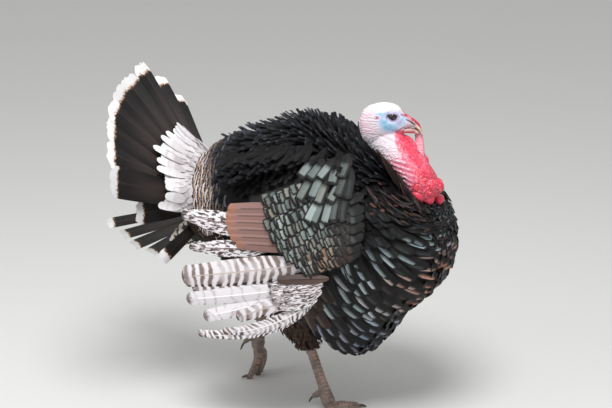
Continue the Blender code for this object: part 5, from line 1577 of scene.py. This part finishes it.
def build_tail(rng):
    """Eighteen fan feathers, the inner ones in front of the outer, and the coverts over their
    roots. Each vane is a flat grid across its shaft, humped at the shaft and drooping at its
    edges."""
    feathers = tail_feathers()
    ways = np.array([d for _, d, _ in feathers])
    length = np.array([n for _, _, n in feathers])
    spread = np.gradient(ways, axis=0)
    across = unit(spread - ways * (spread * ways).sum(axis=1, keepdims=True))
    facing = unit(np.cross((-0.408, 0.875, -0.259), ways))
    facing *= np.sign((facing * across).sum(axis=1, keepdims=True))
    across = unit(across + (facing - across) * np.array(TAIL_TURN)[:, None])
    front = -unit(np.cross(ways, across))
    n = len(feathers)
    v = np.array((0, 0.08, 0.18, 0.3, 0.42, 0.54, 0.65, 0.75, 0.83, 0.89, 0.93, 0.96, 0.985, 1))
    u = np.array((-1, -0.86, -0.62, -0.36, -0.12, 0.0, 0.12, 0.36, 0.62, 0.86, 1.0))
    r = 0.03 + (length[:, None] - 0.03) * v[None]
    half = np.array(TAIL_HALF)
    wide = half[:, None] * (0.42 + 0.58 * np.sin(math.pi * 0.5 * v) ** 0.8)
    ragged = 0.01 * (np.array([noise(np.stack([np.full(11, i * 3.1), u * 6, u * 0], -1), 1.0, 51)
        for i in range(n)]) - 0.5)
    reach = (r[:, :, None] - 0.5 * half[:, None, None]
        * np.abs(u)[None, None] ** 3 * v[None, :, None] ** 9 + ragged[:, None] * v[None, :, None] ** 9)
    index = np.abs(np.arange(n) - 8.5)
    lift = (-0.0016 * index[:, None, None]
        + 0.001 * bell(u, 0, 0.1)[None, None] * (1 - 0.85 * v)[None, :, None] - 0.0035
        * (u**2)[None, None] + 0.004 * (rng.random(n)[:, None, None] - 0.5) * v[None, :, None] ** 2)
    skew = u[None, None] * rng.uniform(-0.06, 0.06, n)[:, None, None] * 0.03
    top = (TAIL_ROOT + reach[..., None] * ways[:, None, None] + (wide[:, :, None] * u[None, None])[...,
        None] * across[:, None, None] + (lift + skew)[..., None] * front[:, None, None])
    normal = np.broadcast_to(front[:, None, None], top.shape)
    corner = np.cross(top[:, 1, 1] - top[:, 0, 0], top[:, 0, 1] - top[:, 0, 0])
    if (corner * front).sum() > 0:
        top, normal = top[:, :, ::-1], normal[:, :, ::-1]
    lens = 0.0013 * np.sin(math.pi * np.clip(v, 0.06, 0.97)) ** 0.5
    # edge paints shade along each fan feather's sides, where its neighbours overlap it.
    material = quill_material("rectrix_keratin",
        ((0.0, "#fdfcfd"), (0.078, "#fdfbfc"), (0.088, "#c79c7c"), (0.098, "#15100f"), (0.17, "#171212"),
        (0.32, "#362e2c"), (0.6, "#4d433f"), (1.0, "#544a43")), shaft="#332b29", edge=0.92)
    cells = np.stack([0.05 + 0.05 * np.arange(n), np.full(n, 0.9)], -1)
    tint = np.repeat(rng.uniform(0.85, 1.1, (n, 1)), 3, axis=1)
    fan = vanes("fan_feathers",
        top, normal, lens, v, u, (length, half), {"ground": tint}, cells, 0.04, material)
    from_tip = length[:, None, None] * (1 - v[None, :, None]) + 0.004 * (u**2)[None, None]
    add_tip(fan, from_tip, n)
    ride(fan, "tail_feathers", *[name for name, _, _ in feathers])

    knots, order = np.linspace(1, -1, n)[::-1], ways[::-1]

    def cone(reach, place):
        """Surface in front of the feathers' roots; place runs from -1, left, to 1, right."""
        direction = unit(curve(knots, order, place))
        bend = unit(curve(knots, order, place + 0.02) - curve(knots, order, place - 0.02))
        face = unit(np.cross(direction, bend))
        depth = 0.0055 + 0.016 * fall(0.05, 0.2, reach)
        return TAIL_ROOT + direction * reach[..., None] + face * depth[..., None]

    p, q = rows_of(cone, 0.2, (0.045, 0.15), (-0.52, 0.86), 0.01, 0.016, rng)
    k = len(p)
    length = np.interp(q, (-0.5, 0.0, 0.45, 0.86), (0.05, 0.062, 0.075, 0.05)) * rng.uniform(0.82, 1.12, k)
    far = p + length
    colours = tints(rng, k, ("#e3dde0", "#f0ecef", "#c9c0c2"),
        ("#efeaee", "#f7f3f6", "#e9e4e8", "#fbf8fb", "#d5cccf"), ("#fdfbfd", "#f6f3f6"))
    marked = (rng.random(k) < 0.5) & (q < 0.05) & (q > -0.35) & (far < 0.19)
    colours["band"][marked] = linear("#a98570")
    cells = np.stack([0.05 + 0.9 * (q + 1) / 2, 0.05 + 0.5 * p / 0.2], -1)
    coat("upper_coverts", cone, p, q, rng.normal(0, 0.06, k), length, np.full(k, 0.0105), 0.009, 0.001
        + 0.005 * rng.random(k), colours, cells, plumage("covert_white", (0.3, 0.4, 0.52, 0.58), (0.0, 0.2,
        0.8, 1.0), (0.56, 0.64), rough=0.6, gloss=0.3), "tail_coverts", ("upper_tail_coverts",), blunt=0.09)

    def lobe(t, turn):
        """Tube of the under coverts, from the vent backwards; turn 0 is its left side."""
        line = ((-0.215, -0.04, 0.375),
            (-0.255, -0.045, 0.358), (-0.285, -0.048, 0.342), (-0.305, -0.05, 0.33))
        t = np.clip(t, 0, 1)
        middle, half = track(line, t), track((0.026, 0.027, 0.018, 0.006), t)
        return middle + half * np.stack([0.3 * np.sin(turn), np.cos(turn), -np.sin(turn)], -1)

    p, q = rows_of(lobe, 0.0, (0.0, 0.75), (-math.pi, math.pi), 0.01, 0.013, rng)
    k = len(p)
    colours = tints(rng,
        k, ("#1a1615", "#2b2421"), ("#0f0d0d", "#3a2c26"), ("#efe7df", "#cdb9a6", "#f4f0ee"))
    cells = np.stack([0.05 + 0.9 * (q / CIRCLE + 0.5), 0.75 + 0.2 * p], -1)
    coat("under_coverts", lobe, p, q, rng.normal(0, 0.1, k), 0.042 * rng.uniform(0.9, 1.1, k),
        np.full(k, 0.0095), 0.008, 0.002 * rng.random(k), colours, cells, plumage("under_covert",
        (0.4, 0.6, 0.7, 0.8), (0.0, 0.2, 0.8, 1.0), (0.8, 0.84)), "plumage_brown", ("under_tail_coverts",))


# ---- floor, light, camera
def build_stage():
    """Floor, light and camera."""
    mesh = bpy.data.meshes.new("floor")
    edge = 30.0
    mesh.from_pydata([(-edge, -edge, 0), (edge, -edge, 0), (edge, edge, 0), (-edge, edge, 0)],
        [], [(0, 1, 2, 3)])
    # Floor: matt painted board, which takes a soft shadow and no reflection.
    material, _, shader = finish("floor_matte", 0.8)
    shader.inputs["Base Color"].default_value = (*linear("#dcdcda"), 1)
    mesh.materials.append(material)
    floor = placed("floor", mesh)

    # Soft even light from all round, a large overhead lamp, and a weak fill from the bird's rear.
    world = bpy.data.worlds.new("studio")
    bpy.context.scene.world = world
    world.use_nodes = True
    world.node_tree.nodes["Background"].inputs[0].default_value = (1.0, 1.0, 1.0, 1)
    world.node_tree.nodes["Background"].inputs[1].default_value = 0.55

    def lamp(name, place, size, power, aim):
        """A round lamp of this width and power that faces a point."""
        light = bpy.data.lights.new(name, "AREA")
        light.shape, light.size, light.energy = "DISK", size, power
        obj = placed(name, light)
        back = unit(np.asarray(place, float) - np.asarray(aim, float))
        right = unit(np.cross((0, 0, 1.0), back)) if abs(back[2]) < 0.99 else np.array((1.0, 0, 0))
        turn_to(obj, right, np.cross(back, right), back, place)

    def turn_to(obj, right, up, back, place):
        """Stands an object here with its own axes along these three."""
        rows = [[right[i], up[i], back[i], place[i]] for i in range(3)] + [[0, 0, 0, 1]]
        obj.matrix_world = Matrix(rows)

    lamp("overhead", (0.6, -1.4, 3.2), 1.6, 95, (0, 0, 0.35))
    lamp("fill", (-2.2, -2.6, 1.8), 2.4, 22, (0, 0, 0.35))

    azimuth, rise = math.radians(CAMERA_ROUND), math.radians(CAMERA_RISE)
    right = np.array((math.cos(azimuth), math.sin(azimuth), 0))
    up = np.array((-math.sin(rise) * math.sin(azimuth), math.sin(rise) * math.cos(azimuth), math.cos(rise)))
    back = np.cross(right, up)
    camera = bpy.data.cameras.new("camera")
    camera.lens, camera.sensor_width, camera.clip_end = CAMERA_LENS_MM, 36.0, 100.0
    obj = placed("camera", camera)
    turn_to(obj, right, up, back, CAMERA_AIM_UP * up + CAMERA_AWAY * back + OFFSET)
    bpy.context.scene.camera = obj
    bpy.context.scene.view_settings.view_transform = "Standard"


# ---- the bird
def build():
    """The whole bird: skin, horn, coat, wings and tail, and then the studio."""
    rng = np.random.default_rng(SEED)
    build_skin()
    build_horn()
    build_mantle(rng)
    build_rump(rng)
    build_breast(rng)
    build_belly(rng)
    build_cape(rng)
    # Wing coverts and scapulars: barbs packed so close that the band shines like dull metal; the band's
    # pale teal-grey colour is painted sheen, the sky's reflection.
    teal = plumage("covert_teal",
        (0.6, 0.74, 0.88, 0.92), (0.1, 0.16, 0.86, 0.93), (0.92, 0.94), rough=0.42, gloss=0.35, metal=0.2)
    scapular = plumage("scapular_teal",
        (0.34, 0.5, 0.88, 0.93), (0.16, 0.26, 0.84, 0.92), (0.93, 0.95), rough=0.45, gloss=0.3, metal=0.15)
    barred = ((0.0, "#3c3434"), (0.035, "#5d5352"), (0.05, "#dcd5d8"), (0.1, "#efeaee"), (1.0, "#e4dde0"))
    # Flight feathers: bars 20 to 30 mm apart on the broad ones and 11.5 mm on the narrow, and
    # blots of 11 by 3 mm on the speckled.
    quills = {
        "bronze": quill_material("bronze_keratin", ((0.0, "#a8643f"),
            (0.045, "#a5725e"), (0.09, "#94706a"), (0.25, "#8b6a63"), (1.0, "#6b514b")), shaft="#5d4540"),
        "speckled": quill_material("speckled_keratin",
            barred, shaft="#75645f", spots=(11.0, 3.2, 0.45, "#4b3a36")),
        "barred": quill_material("barred_keratin",
            barred, (20.0, 0.34, 0.5, "#7c6b66", -0.12), shaft="#c3b2aa"),
        "narrow": quill_material("narrow_barred_keratin",
            barred, (11.5, 0.5, 0.5, "#5a4946", -0.25), shaft="#efe9ea"),
        "white": quill_material("white_keratin", ((0.0, "#5d5558"), (0.045, "#857b7f"),
            (0.065, "#ece7ec"), (1.0, "#e4dee2")), (30.0, 0.9, 0.26, "#a0969a", -0.25), shaft="#ffffff"),
        "dusky": quill_material("dusky_keratin",
            ((0.0, "#41322e"), (0.3, "#5d4943"), (1.0, "#4d3c38")), shaft="#2c1f1b"),
    }
    for side, word in ((-1, "right"), (1, "left")):
        build_coverts(rng, side, word, teal, scapular)
        build_quills("secondary",
            side, word, QUILLS[:9], quills, "secondaries", ("secondaries_" + word,), rng)
        build_quills("primary",
            side, word, QUILLS[9:] + HAND_COVERTS, quills, "primaries", ("primaries_" + word,), rng)
    build_tail(rng)
    build_stage()


build()
